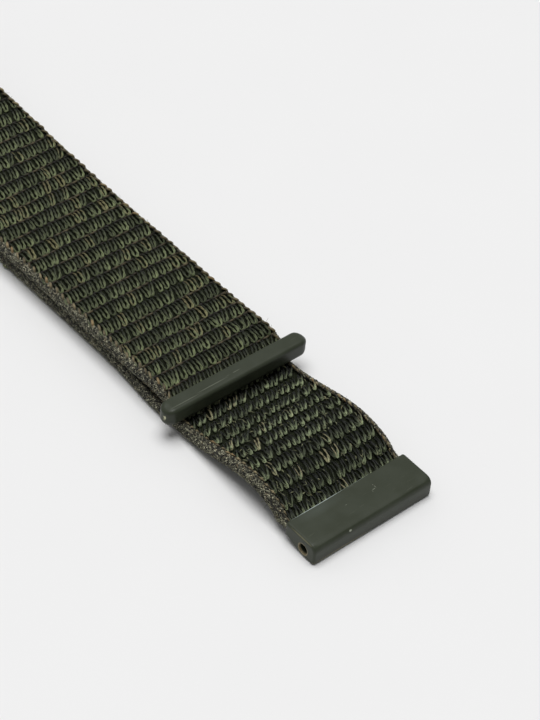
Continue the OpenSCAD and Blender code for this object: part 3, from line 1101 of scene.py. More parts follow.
@dataclass
class LooseFibres:
    """Short broken filaments: a nap on the loop face and a little fuzz on the sides."""

    fuzz_per_mm: float = 6.0
    fuzz_radius: float = 0.03
    nap_per_mm: float = 10.45
    nap_radius: float = 0.06
    nap_half: float = 9.6

    def shell(
        self, s0: float, s1: float, sizes: StrapSizes, rng: np.random.Generator, loops: np.ndarray
    ) -> Shell:
        """Scatters the fibres.

        Args:
            s0: Path distance where they start.
            s1: Path distance where they end.
            sizes: The strap's sizes.
            rng: Source of their places.
            loops: Path distances of the loop rows, between which the nap lies.

        Returns:
            The fibres in webbing coordinates.
        """
        fuzz = self.fuzz(s0, s1, sizes.web_w / 2 - 0.25, rng)
        if not len(loops):
            return fuzz
        return Shell.joined([fuzz, self.nap(float(loops[0]), float(loops[-1]), sizes, rng)])

    def fuzz(self, s0: float, s1: float, half_w: float, rng: np.random.Generator) -> Shell:
        """Fibres that stand out from the sides and bend over, by a random vector times t squared.

        Args:
            s0: Path distance where they start.
            s1: Path distance where they end.
            half_w: How far from the middle line they stand.
            rng: Source of their places.

        Returns:
            The fibres in webbing coordinates.
        """
        m = int((s1 - s0) * self.fuzz_per_mm)
        edge = np.where(rng.random(m) < 0.5, -1.0, 1.0)
        start = np.stack([rng.uniform(s0, s1, m), edge * half_w, rng.uniform(-0.9, 0.9, m)], -1)
        out = np.stack([rng.normal(0, 0.7, m), edge, rng.normal(0, 0.5, m)], -1)
        out /= np.linalg.norm(out, axis=1)[:, None]
        bend = rng.normal(0, 0.6, (m, 3))
        t = np.linspace(0, 1, 5)[None, :, None]
        size = rng.uniform(0.15, 0.4, m)[:, None, None]
        paths = start[:, None] + size * (out[:, None] * t + bend[:, None] * t**2)
        paths[..., 2] = np.clip(paths[..., 2], -1.33, 1.23)
        radii = self.fuzz_radius * np.linspace(1, 0.5, 5)[None] * np.ones((m, 1))
        return tubes(paths, radii, rng.random(m), np.ones((m, 5)), 4)

    def nap(self, first: float, last: float, sizes: StrapSizes, rng: np.random.Generator) -> Shell:
        """Fibres that leave the loop face, run along it and dip again, by a square of the distance.

        Args:
            first: Path distance of the first loop row.
            last: Path distance of the last one.
            sizes: The strap's sizes.
            rng: Source of their places.

        Returns:
            The fibres in webbing coordinates.
        """
        n = int((last - first) * self.nap_per_mm)
        turn = rng.normal(0, 0.8, n)[:, None]
        k = np.linspace(-0.5, 0.5, 5)[None]
        size = rng.uniform(0.5, 1.3, n)[:, None]
        s = rng.uniform(first, last, n)[:, None] + size * k * np.cos(turn)
        y = rng.uniform(-self.nap_half, self.nap_half, n)[:, None] + size * k * np.sin(turn)
        y = y + rng.normal(0, 0.3, (n, 1)) * k**2
        top = sizes.core_t / 2 + sizes.loop_t * rng.uniform(0.62, 0.9, (n, 1))
        paths = np.stack([s, y, 1.2 * k**2 - top], -1)
        radii = self.nap_radius * (1 - 0.5 * np.abs(k)) * rng.uniform(0.6, 1.2, (n, 1))
        # lift values paint shade at the fibre's ends, where it dips into the loop face
        height = 1.2 * (1 - 2 * np.abs(k)) * np.ones((n, 1))
        return tubes(paths, radii, rng.random(n), height, 4)


@dataclass
class WebbingRun:
    """One stretch of the webbing, with all its yarn systems."""

    name: str
    s0: float
    s1: float
    nodes: dict[str, tuple[str, ...]]  # CAD nodes that each piece replaces
    bodies: tuple[str, ...]
    bend: Line | None  # start and end of the bend between the two bodies
    ribs: np.ndarray
    loops: np.ndarray
    loop_slant: tuple[float, float] = (8.0, 8.0)
    tongue: tuple[float, float] | None = None  # path distances of the pressed end inside a moulding
    proud: float = 0.06
    step: float = 0.45
    points_round: int = 56
    inset: float = 0.2
    tongue_half: float = 9.6
    tongue_t: float = 1.24

    def ground(self, sizes: StrapSizes) -> Shell:
        """Body of the webbing: a flat oval section carried along the path, with closed ends.

        The section is a superellipse: half width times the signed root of the cosine, half thickness
        times the signed root of the sine. It thickens at both edges, where it carries the selvedge. A
        tongue is the narrow pressed end inside a moulding. A ring is its place, half width and half
        thickness.

        Args:
            sizes: The strap's sizes.

        Returns:
            The body in webbing coordinates.
        """
        count = max(3, int((self.s1 - self.s0) / self.step)) + 1
        rings = np.full((count, 3), [0.0, sizes.web_w / 2 - self.inset, sizes.core_t / 2])
        rings[:, 0] = np.linspace(self.s0, self.s1, count)
        if self.tongue:
            narrow = np.array([[s, self.tongue_half, self.tongue_t] for s in self.tongue])
            rings = np.concatenate([narrow, rings])
            rings = rings[np.argsort(rings[:, 0])]
        closed = np.array([1.0, 0.0, 0.0])
        rings = np.concatenate([rings[:1] * closed, rings, rings[-1:] * closed])
        s, half_w, half_t = (rings[:, i, None] for i in range(3))
        across, up = oval(self.points_round, 0.25, 0.5)
        thicker = 1 + 0.55 * ease((np.abs(across) - 0.9) / 0.05) * (half_w > self.tongue_half + 0.1)
        grid = np.stack([s + 0 * across, half_w * across, half_t * up * thicker], -1)
        shell = closed_grid(grid, False)
        corners = grid.reshape(-1, 3)[shell.quads.ravel()]
        shell.uv = corners[:, :2].copy()
        return shell

    def build(self, path: WebbingPath, sizes: StrapSizes, looks: Finishes, rng: np.random.Generator) -> None:
        """Builds the run's pieces. Without a bend each is put on the run's first body; with one it stays
        unattached where it was built.

        Args:
            path: The webbing path.
            sizes: The strap's sizes.
            looks: The finishes.
            rng: Source of the small differences.
        """
        core = sizes.core_t / 2
        rib_half = sizes.body_w / 2 + 0.35
        made = {"ground": (self.ground(sizes), looks.ground, "ground_weave")}
        if len(self.ribs):
            rows = YarnRows.ribs(sizes).shell(self.ribs, rib_half, core, rng)
            made["rib"] = (rows, looks.rib, "rib_yarn")
        if len(self.loops):
            loop_half = rib_half - 0.5
            slants = np.interp(self.loops, [self.s0, self.s1], self.loop_slant)
            rows = [
                YarnRows.loops(sizes, float(slant)).shell(np.array([s]), loop_half, core, rng)
                for s, slant in zip(self.loops, slants)
            ]
            made["loop"] = (Shell.joined(rows), looks.loop, "loop_yarn")
        fine, bound = Selvedge().shell(self.s0, self.s1, sizes, rng, self.proud)
        if len(self.ribs):
            bound = Shell.joined([bound, self.picks(rib_half, sizes, rng)])
        made["edge"] = (fine, looks.edge, "edge_thread")
        made["binding"] = (bound, looks.binding, "edge_thread")
        fibres = LooseFibres().shell(self.s0, self.s1, sizes, rng, self.loops)
        made["fibres"] = (fibres, looks.fuzz, "edge_thread")
        for kind, (shell, material, slot) in made.items():
            shell.points = path.place(shell.points)
            piece = shell.build(f"{self.name}_{kind}", material)
            if self.bend is None:
                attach(piece, self.bodies[0])
            else:
                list(self.bodies)
                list(self.bend)
                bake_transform(piece)
            if self.nodes.get(kind):
                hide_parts(*self.nodes[kind])

    def picks(self, half_w: float, sizes: StrapSizes, rng: np.random.Generator) -> Shell:
        """Weft thread that shows as a thin brown line below each ribbed row.

        It runs straight across, with small sine waves along and up as it passes the legs.

        Args:
            half_w: Half of the width that it shows over.
            sizes: The strap's sizes.
            rng: Source of the small differences.

        Returns:
            The threads in webbing coordinates.
        """
        below, radius, ripple_mm, wander_mm = 0.57, 0.17, 1.5, 9.0
        rows = self.ribs + below * sizes.rib_pitch
        rows = rows[rows < self.s1 - 0.3][:, None]
        y = np.linspace(-half_w, half_w, 64)[None]
        wave = np.sin(2 * np.pi * y / ripple_mm + rng.uniform(0, 6, rows.shape))
        drift = np.sin(2 * np.pi * y / wander_mm + rng.uniform(0, 6, rows.shape))
        c = sizes.core_t / 2 + 0.08 + 0.12 * wave + 0.05 * drift
        paths = np.stack([rows + 0.1 * wave + 0.08 * drift, y + 0 * rows, c], -1)
        # lift values paint light: lighter where the weft rides up over the legs, darker where it dips
        height = 0.28 + 0.2 * drift + 0.14 * wave
        return tubes(paths, np.full(wave.shape, radius), rng.uniform(0.2, 0.8, len(rows)), height)


@dataclass
class Webbing:
    """The whole length of webbing, split where it bends."""

    sizes: StrapSizes
    path: WebbingPath
    u_back: float = 98.0  # where the tail is split from its reach
    u_reach: float = 52.0  # where the reach is split from the tip
    front_step: float = 2.25  # spacing of the front's loop rows at the connector
    front_widen: float = 0.35  # how much wider they stand at the bar
    front_start: float = 1.3  # first of them, from the connector
    front_even: float = 8.0  # where the spacing is front_step, from the connector's front
    rib_start: float = 2.2  # from the bar to the edge of its first row
    loop_start: float = 0.55  # from the start of the lower run to its first row
    row_gap: float = 1.0  # kept free of rows beside a moulding
    hem: float = 1.2  # between the loop rows and the hook tape
    near_grip: float = 1.9  # webbing held in the near connector
    bar_grip: float = 1.5  # webbing held in the stop bar
    hair: float = 0.02  # between a tongue and the full webbing

    def rows(self, s0: float, s1: float, face: Face) -> np.ndarray:
        """Row centres between two path distances, counted from a start that all the runs share.

        Args:
            s0: First path distance.
            s1: Last path distance.
            face: The face whose rows are wanted.

        Returns:
            The centres.
        """
        z = self.sizes
        pitch, start = z.rib_pitch, self.path.s_at(z.u_tail_tip, Leg.TAIL) - self.rib_start - z.rib_pitch / 2
        if face is Face.LOOP:
            pitch, start = z.loop_pitch, self.path.s_at(z.u_lower, Leg.TABLE) + self.loop_start
        first, last = math.ceil((s0 - start) / pitch), math.floor((s1 - start) / pitch - 1e-6)
        return start + pitch * np.arange(first, last + 1)

    def front_loops(self) -> np.ndarray:
        """Loop rows in front of the bar, whose spacing widens evenly toward it.

        Returns:
            Their centres.
        """
        z = self.sizes
        centres, u = [], z.conn_d + self.front_start
        while u < z.u_lower:
            centres.append(self.path.s_at(u, Leg.TABLE))
            u += self.front_step + self.front_widen * (u - self.front_even) / (z.u_lower - self.front_even)
        return np.array(centres)

    def nodes(self, *starts: str) -> dict[str, tuple[str, ...]]:
        """CAD nodes that the pieces of a run stand for.

        Args:
            starts: First words of the nodes' names.

        Returns:
            Names for each kind of piece.
        """
        ends = {"ground": ["ground"], "rib": ["rib_face"], "loop": ["loop_face"]}
        ends["edge"] = ["edge_left", "edge_right"]
        names = {kind: [f"{a}_{b}" for a in starts for b in words] for kind, words in ends.items()}
        return {kind: tuple(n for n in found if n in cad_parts) for kind, found in names.items()}

    def runs(self) -> list[WebbingRun]:
        """Sets out the runs from the near connector to the stop bar.

        Returns:
            The runs in order along the path.
        """
        z, at, rows = self.sizes, self.path.s_at, self.rows
        s_conn, s_low = at(z.conn_d, Leg.TABLE), at(z.u_lower, Leg.TABLE)
        s_fold, s_top = at(z.u_slot - 0.1, Leg.TABLE), at(z.u_slot - 0.1, Leg.TAIL)
        s_back, s_tip, s_bar = (at(u, Leg.TAIL) for u in (self.u_back, self.u_reach, z.u_tail_tip))
        s_tape = at(z.u_tape, Leg.TAIL)
        front, tip = self.nodes("front"), self.nodes("tip")
        front["ground"] += ("near_tongue",)
        tip["ground"] += ("tip_tongue", "stop_tongue")
        flex = (z.point(8.6, 2.2), z.point(6.5, 2.2))
        opening = (z.point(z.u_slot, 7), z.point(z.u_slot - z.bend_len, 7))
        bar = (z.point(z.u_tip, 4.4), z.point(z.u_tail_tip + 0.2, 4.4))
        none = np.array([])
        return [
            WebbingRun(
                "front", s_conn, s_low, front, ("lower_run", "near_end"), flex,
                rows(s_conn + self.row_gap, s_low, Face.RIB), self.front_loops(), loop_slant=(4.0, 34.0),
                tongue=(s_conn - self.near_grip, s_conn - self.hair), proud=-0.2,
            ),
            WebbingRun(
                "lower", s_low, s_fold, self.nodes("lower"), ("lower_run",), None,
                rows(s_low, s_fold, Face.RIB), rows(s_low, s_fold - self.row_gap, Face.LOOP),
                loop_slant=(30.0, 12.0), proud=-0.2,
            ),
            WebbingRun(
                "fold", s_fold, s_top, self.nodes("fold"), ("lower_run",), None,
                rows(s_fold, s_top, Face.RIB), none,
            ),
            WebbingRun(
                "tail", s_top, s_back, self.nodes("tail"), ("lower_run", "tail"), opening,
                rows(s_top, s_back, Face.RIB), rows(s_top, s_back, Face.LOOP),
            ),
            WebbingRun(
                "reach", s_back, s_tip, self.nodes("tail", "tip"), ("tail", "tail_tip"), z.peel_line,
                rows(s_back, s_tip, Face.RIB), rows(s_back, s_tape - self.hem, Face.LOOP),
            ),
            WebbingRun(
                "tip", s_tip, s_bar, tip, ("tail_tip", "stop"), bar,
                rows(s_tip, s_bar, Face.RIB), none, tongue=(s_bar + self.hair, s_bar + self.bar_grip),
            ),
        ]

    def build(self, looks: Finishes) -> None:
        """Builds every run.

        Args:
            looks: The finishes.
        """
        for number, run in enumerate(self.runs()):
            run.build(self.path, self.sizes, looks, np.random.default_rng(SEED + number))


@dataclass
class HookPatch:
    """Hook tape sewn under the tail's end: a thin backing with rows of small bent hooks."""

    length: float = 27.0
    width: float = 17.2
    front: float = 1.0
    backing_t: float = 0.3
    pitch: float = 1.05
    hook_h: float = 0.42
    hook_r: float = 0.15
    stem_r: float = 0.06
    hem: float = 0.6

    def backing(self, x0: float, x1: float, top: float) -> Shell:
        """The tape: a flat oval section carried along the strap, with closed ends.

        Args:
            x0: Low end.
            x1: High end.
            top: Height of its upper side.

        Returns:
            The tape.
        """
        rows = 25
        x = np.linspace(x0, x1, rows)
        x = np.concatenate([x[:1], x, x[-1:]])
        scale = np.concatenate([[0.0], np.ones(rows), [0.0]])[:, None]
        across, up = oval(40, 0.2, 0.4)
        y = scale * self.width / 2 * across
        z = top - self.backing_t / 2 + scale * self.backing_t / 2 * up
        return closed_grid(np.stack([x[:, None] + 0 * y, y, z], -1), False)

    def build(self, sizes: StrapSizes, looks: Finishes, rng: np.random.Generator) -> None:
        """Builds the backing and its hooks.

        A hook is a stem that drops from the backing and curls forward: its height falls as a sine and
        its place along the strap moves as one minus a cosine.

        Args:
            sizes: The strap's sizes.
            looks: The finishes.
            rng: Source of the small differences.
        """
        u0 = sizes.u_tip + self.front
        x0, x1 = sizes.x(u0 + self.length), sizes.x(u0)
        top = sizes.tail_z + sizes.loop_t - 0.02
        reach = self.width / 2 - self.hem - 0.2
        along = np.arange(x0 + self.hem + 0.3, x1 - self.hem, self.pitch)
        hx, hy = np.meshgrid(along, np.arange(-reach, reach + 0.1, self.pitch))
        hx, hy = hx.ravel(), hy.ravel()
        m = len(hx)
        t = np.linspace(0, 1, 7)[None]
        bend = np.pi * 1.25 * t
        turned = np.where(rng.random((m, 1)) < 0.5, -1.0, 1.0)
        px = hx[:, None] + turned * self.hook_r * (1 - np.cos(bend))
        py = hy[:, None] + rng.normal(0, 0.05, (m, 1)) + 0 * t
        drop = self.hook_h * np.clip(np.sin(bend * 0.8), 0.05, 1) * np.ones((m, 1))
        paths = np.stack([px, py, top - self.backing_t - drop], -1)
        hooks = tubes(paths, np.full((m, 7), self.stem_r), rng.random(m), np.ones((m, 7)), sides=4)
        shell = Shell.joined([self.backing(x0, x1, top), hooks])
        piece = shell.build("hook_tape", looks.hook, 40)
        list(sizes.peel_line)
        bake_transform(piece)
        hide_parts("hook_patch")


# Mouldings


def moulded_bar(
    outline: np.ndarray,
    y0: float,
    y1: float,
    edge_r: float,
    bore: tuple[float, float, float] | None = None,
    notch: np.ndarray | None = None,
    notch_half: float = 0.0,
) -> Shell:
    """A side outline carried across the strap, with rounded ends and, on request, a bore and a pocket.

    Near each end the outline moves inwards by edge_r less the root of edge_r squared minus the distance
    into the rounding squared. With a bore, the end face runs on to a circle about the bore's centre and
    through to the other end, so the shell is closed both ways; without one it closes to the middle.

    Args:
        outline: Counter-clockwise points in x and z.
        y0: Low end.
        y1: High end.
        edge_r: Radius of the rounded ends.
        bore: Centre in x and z, and radius.
        notch: Push along x of each outline point inside the pocket.
        notch_half: Half of the pocket's width.

    Returns:
        The closed shell.
    """
    into = inward(outline)
    a = np.linspace(0, np.pi / 2, 6)
    rim_y, rim_in = edge_r * (1 - np.sin(a)), edge_r * (1 - np.cos(a))
    rows = [(y0 + dy, di, 0.0) for dy, di in zip(rim_y[::-1], rim_in[::-1])]
    if notch is not None:
        sides = ((-notch_half, 0.0), (-notch_half, 1.0), (notch_half, 1.0), (notch_half, 0.0))
        rows += [(y, 0.0, pushed) for y, pushed in sides]
    rows += [(y1 - dy, di, 0.0) for dy, di in zip(rim_y, rim_in)]
    data = np.array(rows)
    push = np.zeros(len(outline)) if notch is None else notch
    flat = outline[None] + data[:, 1, None, None] * into[None]
    x = flat[..., 0] + data[:, 2, None] * push[None]
    skin = np.stack([x, data[:, 0, None] + 0 * x, flat[..., 1]], -1)
    first, last = skin[0], skin[-1]
    if bore is None:
        middle = np.array([outline[:, 0].mean(), 0.0, outline[:, 1].mean()])
        caps = [(middle + (end - middle) * np.array([0.0, 1.0, 0.0]))[None] for end in (first, last)]
        return closed_grid(np.concatenate([caps[0], skin, caps[1]]), False)
    cx, cz, r = bore
    angle = np.arctan2(last[:, 2] - cz, last[:, 0] - cx)
    lip, inside, turns = 0.1, 1.0, 8

    def ring(radius: float, y: float) -> np.ndarray:
        """Circle about the bore's centre at one place across the strap."""
        x, z = cx + radius * np.cos(angle), cz + radius * np.sin(angle)
        return np.stack([x, np.full(len(angle), y), z], -1)

    def faces(edge: np.ndarray, y: float, inner: float) -> list[np.ndarray]:
        """End face from its outer edge to the rounded lip of the bore, ring by ring.

        Args:
            edge: Ring at the outer edge.
            y: Place across the strap.
            inner: Sign of the way into the bore.

        Returns:
            The rings.
        """
        rim = ring(r + lip, y)
        between = [edge + (rim - edge) * f for f in (0.12, 0.5, 0.85)]
        return [*between, rim, ring(r + 0.3 * lip, y + 0.3 * lip * inner), ring(r, y + lip * inner)]

    far = faces(last, y1, -1.0)
    near = faces(first, y0, 1.0)
    tunnel = [ring(r, y) for y in np.linspace(y1 - inside, y0 + inside, turns)]
    return closed_grid(np.concatenate([skin, np.stack([*far, *tunnel, *near[::-1]])]), True)


def moulded(shell: Shell, name: str, material: bpy.types.Material, body: str, replaced: str) -> None:
    """Makes a moulding of a shell, on its body and in its node's place.

    Args:
        shell: Its surface.
        name: Name of the piece.
        material: Its plastic.
        body: Body that it rides.
        replaced: CAD node that it stands for.
    """
    piece = shell.build(name, material, 38)
    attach(piece, body)
    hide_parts(replaced)


def turned_shell(shell: Shell, x: float, z: float, degrees: float) -> Shell:
    """Tilts a shell about a line across the strap and moves it to its place.

    Args:
        shell: The shell, about the origin.
        x: Place of the line.
        z: Its height.
        degrees: Tilt that lowers the far end.

    Returns:
        The same shell, moved.
    """
    c, s = math.cos(math.radians(degrees)), math.sin(math.radians(degrees))
    px, pz = shell.points[:, 0].copy(), shell.points[:, 2].copy()
    shell.points[:, 0] = x + c * px - s * pz
    shell.points[:, 2] = z + s * px + c * pz
    return shell


@dataclass
class NearConnector:
    """Moulded end with the spring-bar bore, level top, rounded front and an underside that rises."""

    front_r: float = 1.2
    foot_r: float = 0.45
    back_r: float = 0.4
    end_r: float = 0.38
    lip: float = 0.2
    flat: float = 1.6  # how much of the underside rests on the table
    rise: float = 1.2
    bore_wear: float = 1.05  # the bore's mouth is drawn this much wider
    bore_back: float = 2.35
    bore_up: float = 1.45
    pocket_low: float = 1.65
    pocket_high: float = 2.85
    pocket_d: float = 2.0

    def outline(self, sizes: StrapSizes) -> tuple[np.ndarray, np.ndarray]:
        """Side outline and the push of each point into the webbing pocket.

        Args:
            sizes: The strap's sizes.

        Returns:
            Points in x and z, counter-clockwise, and their pushes.
        """
        x0, x1 = sizes.x(0), sizes.x(sizes.conn_d)
        top = arc(x0 - self.front_r, sizes.conn_h - self.front_r, self.front_r, 0, 90, 12)
        back = arc(x1 + self.back_r, sizes.conn_h - self.back_r, self.back_r, 90, 180, 8)
        span = sizes.conn_d - self.lip - self.flat
        d = self.flat + span * np.linspace(1, 0, 16)
        under = self.rise * (np.maximum(d - self.flat, 0) / (sizes.conn_d - self.flat)) ** 1.4
        low = np.stack([x0 - d, under], -1)
        foot = arc(x0 - self.foot_r, self.foot_r, self.foot_r, 270, 360, 8)
        mouth = [(x1, z) for z in (self.pocket_high, self.pocket_high, self.pocket_low, self.pocket_low)]
        head = spaced(np.concatenate([top, back]), 0.5, is_open=True)
        under_side = np.concatenate([[[x1, self.rise + 0.75 * self.lip]], low, foot, top[:1]])
        tail = spaced(under_side, 0.5, is_open=True)[:-1]
        points = np.concatenate([head, np.array(mouth), tail])
        push = np.zeros(len(points))
        push[len(head) + 1 : len(head) + 3] = self.pocket_d
        return points, push

    def build(self, sizes: StrapSizes, looks: Finishes) -> None:
        """Builds the moulding.

        Args:
            sizes: The strap's sizes.
            looks: The finishes.
        """
        outline, push = self.outline(sizes)
        bore = (sizes.x(self.bore_back), self.bore_up, sizes.bore_r * self.bore_wear)
        half = sizes.conn_w / 2
        shell = moulded_bar(outline, -half, half, self.end_r, bore, push, sizes.pocket_half)
        moulded(shell, "near_connector_body", looks.near_plastic, "near_end", "near_connector")


@dataclass
class StopBar:
    """Moulded bar with round ends, a soft top edge and a rounder foot."""

    length: float = 26.4
    aside: float = 0.3
    depth: float = 2.9
    low: float = 2.9
    high: float = 6.1
    edge_r: float = 0.6
    end_drop: float = 0.3
    foot_r: float = 1.0
    pocket_low: float = 3.9
    pocket_high: float = 5.1
    pocket_d: float = 1.6

    def build(self, sizes: StrapSizes, looks: Finishes) -> None:
        """Builds the bar.

        A point lies at rho times the outward direction from the bar's middle line, which is where the
        top and the bottom close. The top edge drops at both ends by the square of that direction's share
        along the bar.

        Args:
            sizes: The strap's sizes.
            looks: The finishes.
        """
        radius = self.depth / 2
        reach = self.length / 2 - radius
        round_points, side_points, hair = 17, 41, 0.001
        cap = np.linspace(-np.pi / 2, np.pi / 2, round_points)
        side = np.linspace(reach, -reach, side_points)[1:-1]
        gap = sizes.pocket_half
        gate = np.sort(np.append(side, [gap, gap - hair, -gap, hair - gap]))[::-1]
        ends = np.full(round_points, reach)
        mid = np.concatenate([ends, gate, -ends, side[::-1]])
        nx = np.concatenate([-np.sin(cap), np.full(len(gate), -1.0), np.sin(cap), np.full(len(side), 1.0)])
        ny = np.concatenate([np.cos(cap), np.zeros(len(gate)), -np.cos(cap), np.zeros(len(side))])
        a = np.linspace(0, np.pi / 2, 8)
        quarter = list(zip(1 - np.sin(a), 1 - np.cos(a)))
        flat = (0.0, 0.1, 0.3)
        rows = [(r, self.low, 0) for r in flat]
        rows += [(radius - self.foot_r * i, self.low + self.foot_r * k, 0) for i, k in quarter]
        rows += [(radius, self.pocket_low, 0), (radius, self.pocket_low, 1)]
        rows += [(radius, self.pocket_high, 1), (radius, self.pocket_high, 0)]
        rows += [(radius - self.edge_r * i, self.high - self.edge_r * k, 0) for i, k in quarter[::-1]]
        rows += [(r, self.high, 0) for r in flat[::-1]]
        rho, z, inner = (np.array(rows)[:, i][:, None] for i in range(3))
        rear = ((nx < -0.99) & (np.abs(mid) < gap - hair / 2))[None]
        rho = rho - np.where(rear, inner * self.pocket_d, 0.0)
        middle = sizes.x(sizes.u_stop + radius)
        outer = ease(rho / radius) * ease((z - self.pocket_high) / (self.high - self.pocket_high))
        z = z - self.end_drop * outer * ny[None] ** 2
        x = middle + rho * nx[None]
        y = self.aside + mid[None] + rho * ny[None]
        shell = closed_grid(np.stack([x, y, z + 0 * x], -1), False)
        moulded(shell, "stop_bar_body", looks.stop_plastic, "stop", "stop_bar")


@dataclass
class FarConnector:
    """Moulded frame: slot bar, side arms, cross piece and lug end with its bore."""

    slot_r: float = 1.2
    arm_r: float = 2.2
    lug_r: float = 1.7
    arm_w: float = 2.3
    cross_x: float = 4.4
    cross_d: float = 1.6
    lug_reach: float = 2.5
    lug_w: float = 22.0
    end_r: float = 0.3
    bar_sunk: float = 0.6  # how far the slot bar runs into the arms
    corner: float = 0.7  # length over which the corners are rounded

    def drop(self, x0: float, x1: float, shrink: float = 0.0) -> np.ndarray:
        """Part of the outline round the slot bar's and the lug's circles that lies between two places.

        The upper side runs over the big circle, the common tangent and the small circle. It is cut at
        both places, and the lower side is its mirror image.

        Args:
            x0: Lowest x kept.
            x1: Highest x kept.
            shrink: How much smaller the circles are.

        Returns:
            Points in x and z, counter-clockwise.
        """
        d = self.cross_x + self.cross_d + self.lug_reach
        r0, r1 = self.arm_r - shrink, self.lug_r - shrink
        a = 180 - math.degrees(math.acos((r0 - r1) / d))
        upper = np.concatenate([arc(0, 0, r0, 0, a, 30), arc(-d, 0, r1, a, 180, 16)])
        x0, x1 = max(x0, upper[-1, 0]), min(x1, upper[0, 0])
        cut = [[x, np.interp(x, upper[::-1, 0], upper[::-1, 1])] for x in (x1, x0)]
        inner = upper[(upper[:, 0] < x1 - 0.01) & (upper[:, 0] > x0 + 0.01)]
        upper = np.concatenate([cut[:1], inner, cut[1:]])
        lower = upper[::-1] * np.array([1.0, -1.0])
        return blunted(np.concatenate([upper, lower]), self.corner)

    def build(self, sizes: StrapSizes, looks: Finishes) -> None:
        """Builds the frame's bars as one piece.

        Args:
            sizes: The strap's sizes.
            looks: The finishes.
        """
        back = self.cross_x + self.cross_d
        lug_x = back + self.lug_reach
        tilt = math.degrees(math.asin((sizes.slot_z - self.lug_r) / lug_x))
        bar = arc(0, 0, self.slot_r, 0, 360, 40)[:-1]
        slot_half = sizes.slot_w / 2
        frame_half = slot_half + self.arm_w
        parts = [moulded_bar(bar, -slot_half - self.bar_sunk, slot_half + self.bar_sunk, 0.1)]
        arm = self.drop(-back, self.arm_r)
        parts.append(moulded_bar(arm, -frame_half, -slot_half, self.end_r))
        parts.append(moulded_bar(arm, slot_half, frame_half, self.end_r))
        hair = 0.02
        cross = self.drop(-back + hair, -self.cross_x, hair)
        parts.append(moulded_bar(cross, self.end_r - frame_half, frame_half - self.end_r, 0.2))
        lug = self.drop(-2 * lug_x, -self.cross_x - self.cross_d / 2)
        bore = (-lug_x, 0.0, sizes.bore_r)
        parts.append(moulded_bar(lug, -self.lug_w / 2, self.lug_w / 2, self.end_r, bore))
        shell = turned_shell(Shell.joined(parts), sizes.x(sizes.u_slot), sizes.slot_z, tilt)
        moulded(shell, "far_connector_frame", looks.far_plastic, "far_end", "far_connector")


# Studio


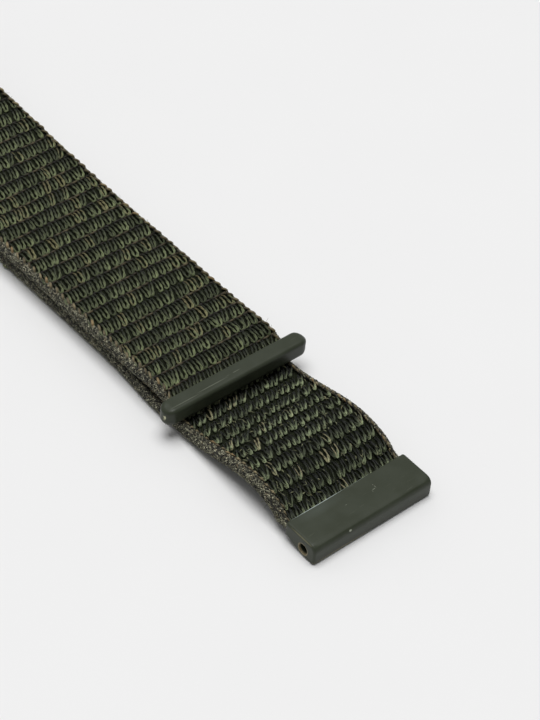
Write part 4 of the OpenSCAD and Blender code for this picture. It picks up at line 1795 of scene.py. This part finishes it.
@dataclass
class Studio:
    """Pale floor, soft light and the camera at the photograph's angle."""

    backdrop: str = "#efefef"
    floor_colour: str = "#e8e8e8"
    floor_light: str = "#eaeaea"
    floor_half: float = 3.0
    world: float = 0.5
    dim: float = 0.16
    glow_from: Point = (-0.75, 0.2, 0.62)
    key: float = 2.35
    key_from: Point = (-0.06, -0.03, 1.0)
    key_angle: float = 41.0
    focal_px: float = 2213.6
    eye: Point = (133.64, -155.24, 229.88)
    right: Point = (0.64488, 0.76041, 0.07674)
    up: Point = (-0.56965, 0.41129, 0.71158)
    back: Point = (0.50953, -0.50260, 0.69841)

    def floor(self) -> None:
        """A wide level floor whose colour is the backdrop's."""
        mesh = bpy.data.meshes.new("floor")
        signs = ((-1, -1), (1, -1), (1, 1), (-1, 1))
        corners = [(x * self.floor_half, y * self.floor_half, 0.0) for x, y in signs]
        mesh.from_pydata(corners, [], [(0, 1, 2, 3)])
        material, tree = blank("studio_floor")
        place = node(tree, "TexCoord").outputs["Object"]
        noise = node(tree, "TexNoise", {"Vector": place, "Scale": 40.0})
        shades = {6: linear(self.floor_colour), 7: linear(self.floor_light)}
        colour = node(tree, "Mix", {0: noise, **shades}, data_type="RGBA")
        shader = node(tree, "BsdfPrincipled", {"Base Color": colour, "Roughness": 0.9})
        node(tree, "OutputMaterial", {0: shader})
        mesh.materials.append(material)
        obj = bpy.data.objects.new("floor", mesh)
        bpy.context.scene.collection.objects.link(obj)

    def light(self) -> None:
        """A pale world, brighter behind on the left, and one wide soft lamp nearly overhead."""
        world = bpy.data.worlds.new("studio")
        world.use_nodes = True
        tree = world.node_tree
        tree.nodes.clear()
        path = node(tree, "LightPath")
        seen = node(tree, "Background", {"Color": linear(self.backdrop), "Strength": 1.0})
        way = node(tree, "TexCoord").outputs["Generated"]
        toward = Vector(self.glow_from).normalized()
        facing = node(tree, "VectorMath", {0: way, 1: tuple(toward)}, operation="DOT_PRODUCT")
        level = node(tree, "MapRange", {0: facing, 1: 0.0, 2: 0.95, 3: self.dim, 4: self.world})
        lit = node(tree, "Background", {"Color": (1.0, 1.0, 1.0, 1.0), "Strength": level})
        both = node(tree, "MixShader", {0: path.outputs["Is Camera Ray"], 1: lit, 2: seen})
        node(tree, "OutputWorld", {0: both})
        bpy.context.scene.world = world
        data = bpy.data.lights.new("key", "SUN")
        data.energy = self.key
        data.angle = math.radians(self.key_angle)
        lamp = bpy.data.objects.new("key", data)
        lamp.rotation_mode = "QUATERNION"
        lamp.rotation_quaternion = Vector(self.key_from).to_track_quat("Z", "Y")
        bpy.context.scene.collection.objects.link(lamp)

    def camera(self, sizes: StrapSizes) -> None:
        """The camera, from the fit to the photograph's corners, in millimetres from the connector's front.

        Args:
            sizes: The strap's sizes.
        """
        data = bpy.data.cameras.new("camera")
        film_mm, photo_px = 36.0, 720.0
        data.sensor_width = film_mm
        data.lens = self.focal_px * film_mm / photo_px
        data.clip_start, data.clip_end = 0.01, 20.0
        turn = Matrix((self.right, self.up, self.back)).transposed()
        obj = bpy.data.objects.new("camera", data)
        eye = Vector((self.eye[0] + sizes.x(0), self.eye[1], self.eye[2])) * MM
        obj.matrix_world = Matrix.Translation(eye) @ turn.to_4x4()
        bpy.context.scene.collection.objects.link(obj)
        bpy.context.scene.camera = obj

    def build(self, sizes: StrapSizes) -> None:
        """Sets up the floor, the light and the camera.

        Args:
            sizes: The strap's sizes.
        """
        self.floor()
        self.light()
        self.camera(sizes)
        bpy.context.scene.view_settings.view_transform = "Standard"


def main() -> None:
    """Builds the strap and its studio."""
    logging.basicConfig(level=logging.INFO, format="%(message)s")
    sizes = StrapSizes()
    path = WebbingPath(sizes)
    looks = Finishes.made()
    Webbing(sizes, path).build(looks)
    HookPatch().build(sizes, looks, np.random.default_rng(SEED))
    NearConnector().build(sizes, looks)
    StopBar().build(sizes, looks)
    FarConnector().build(sizes, looks)
    Studio().build(sizes)


if __name__ == "__main__":
    main()
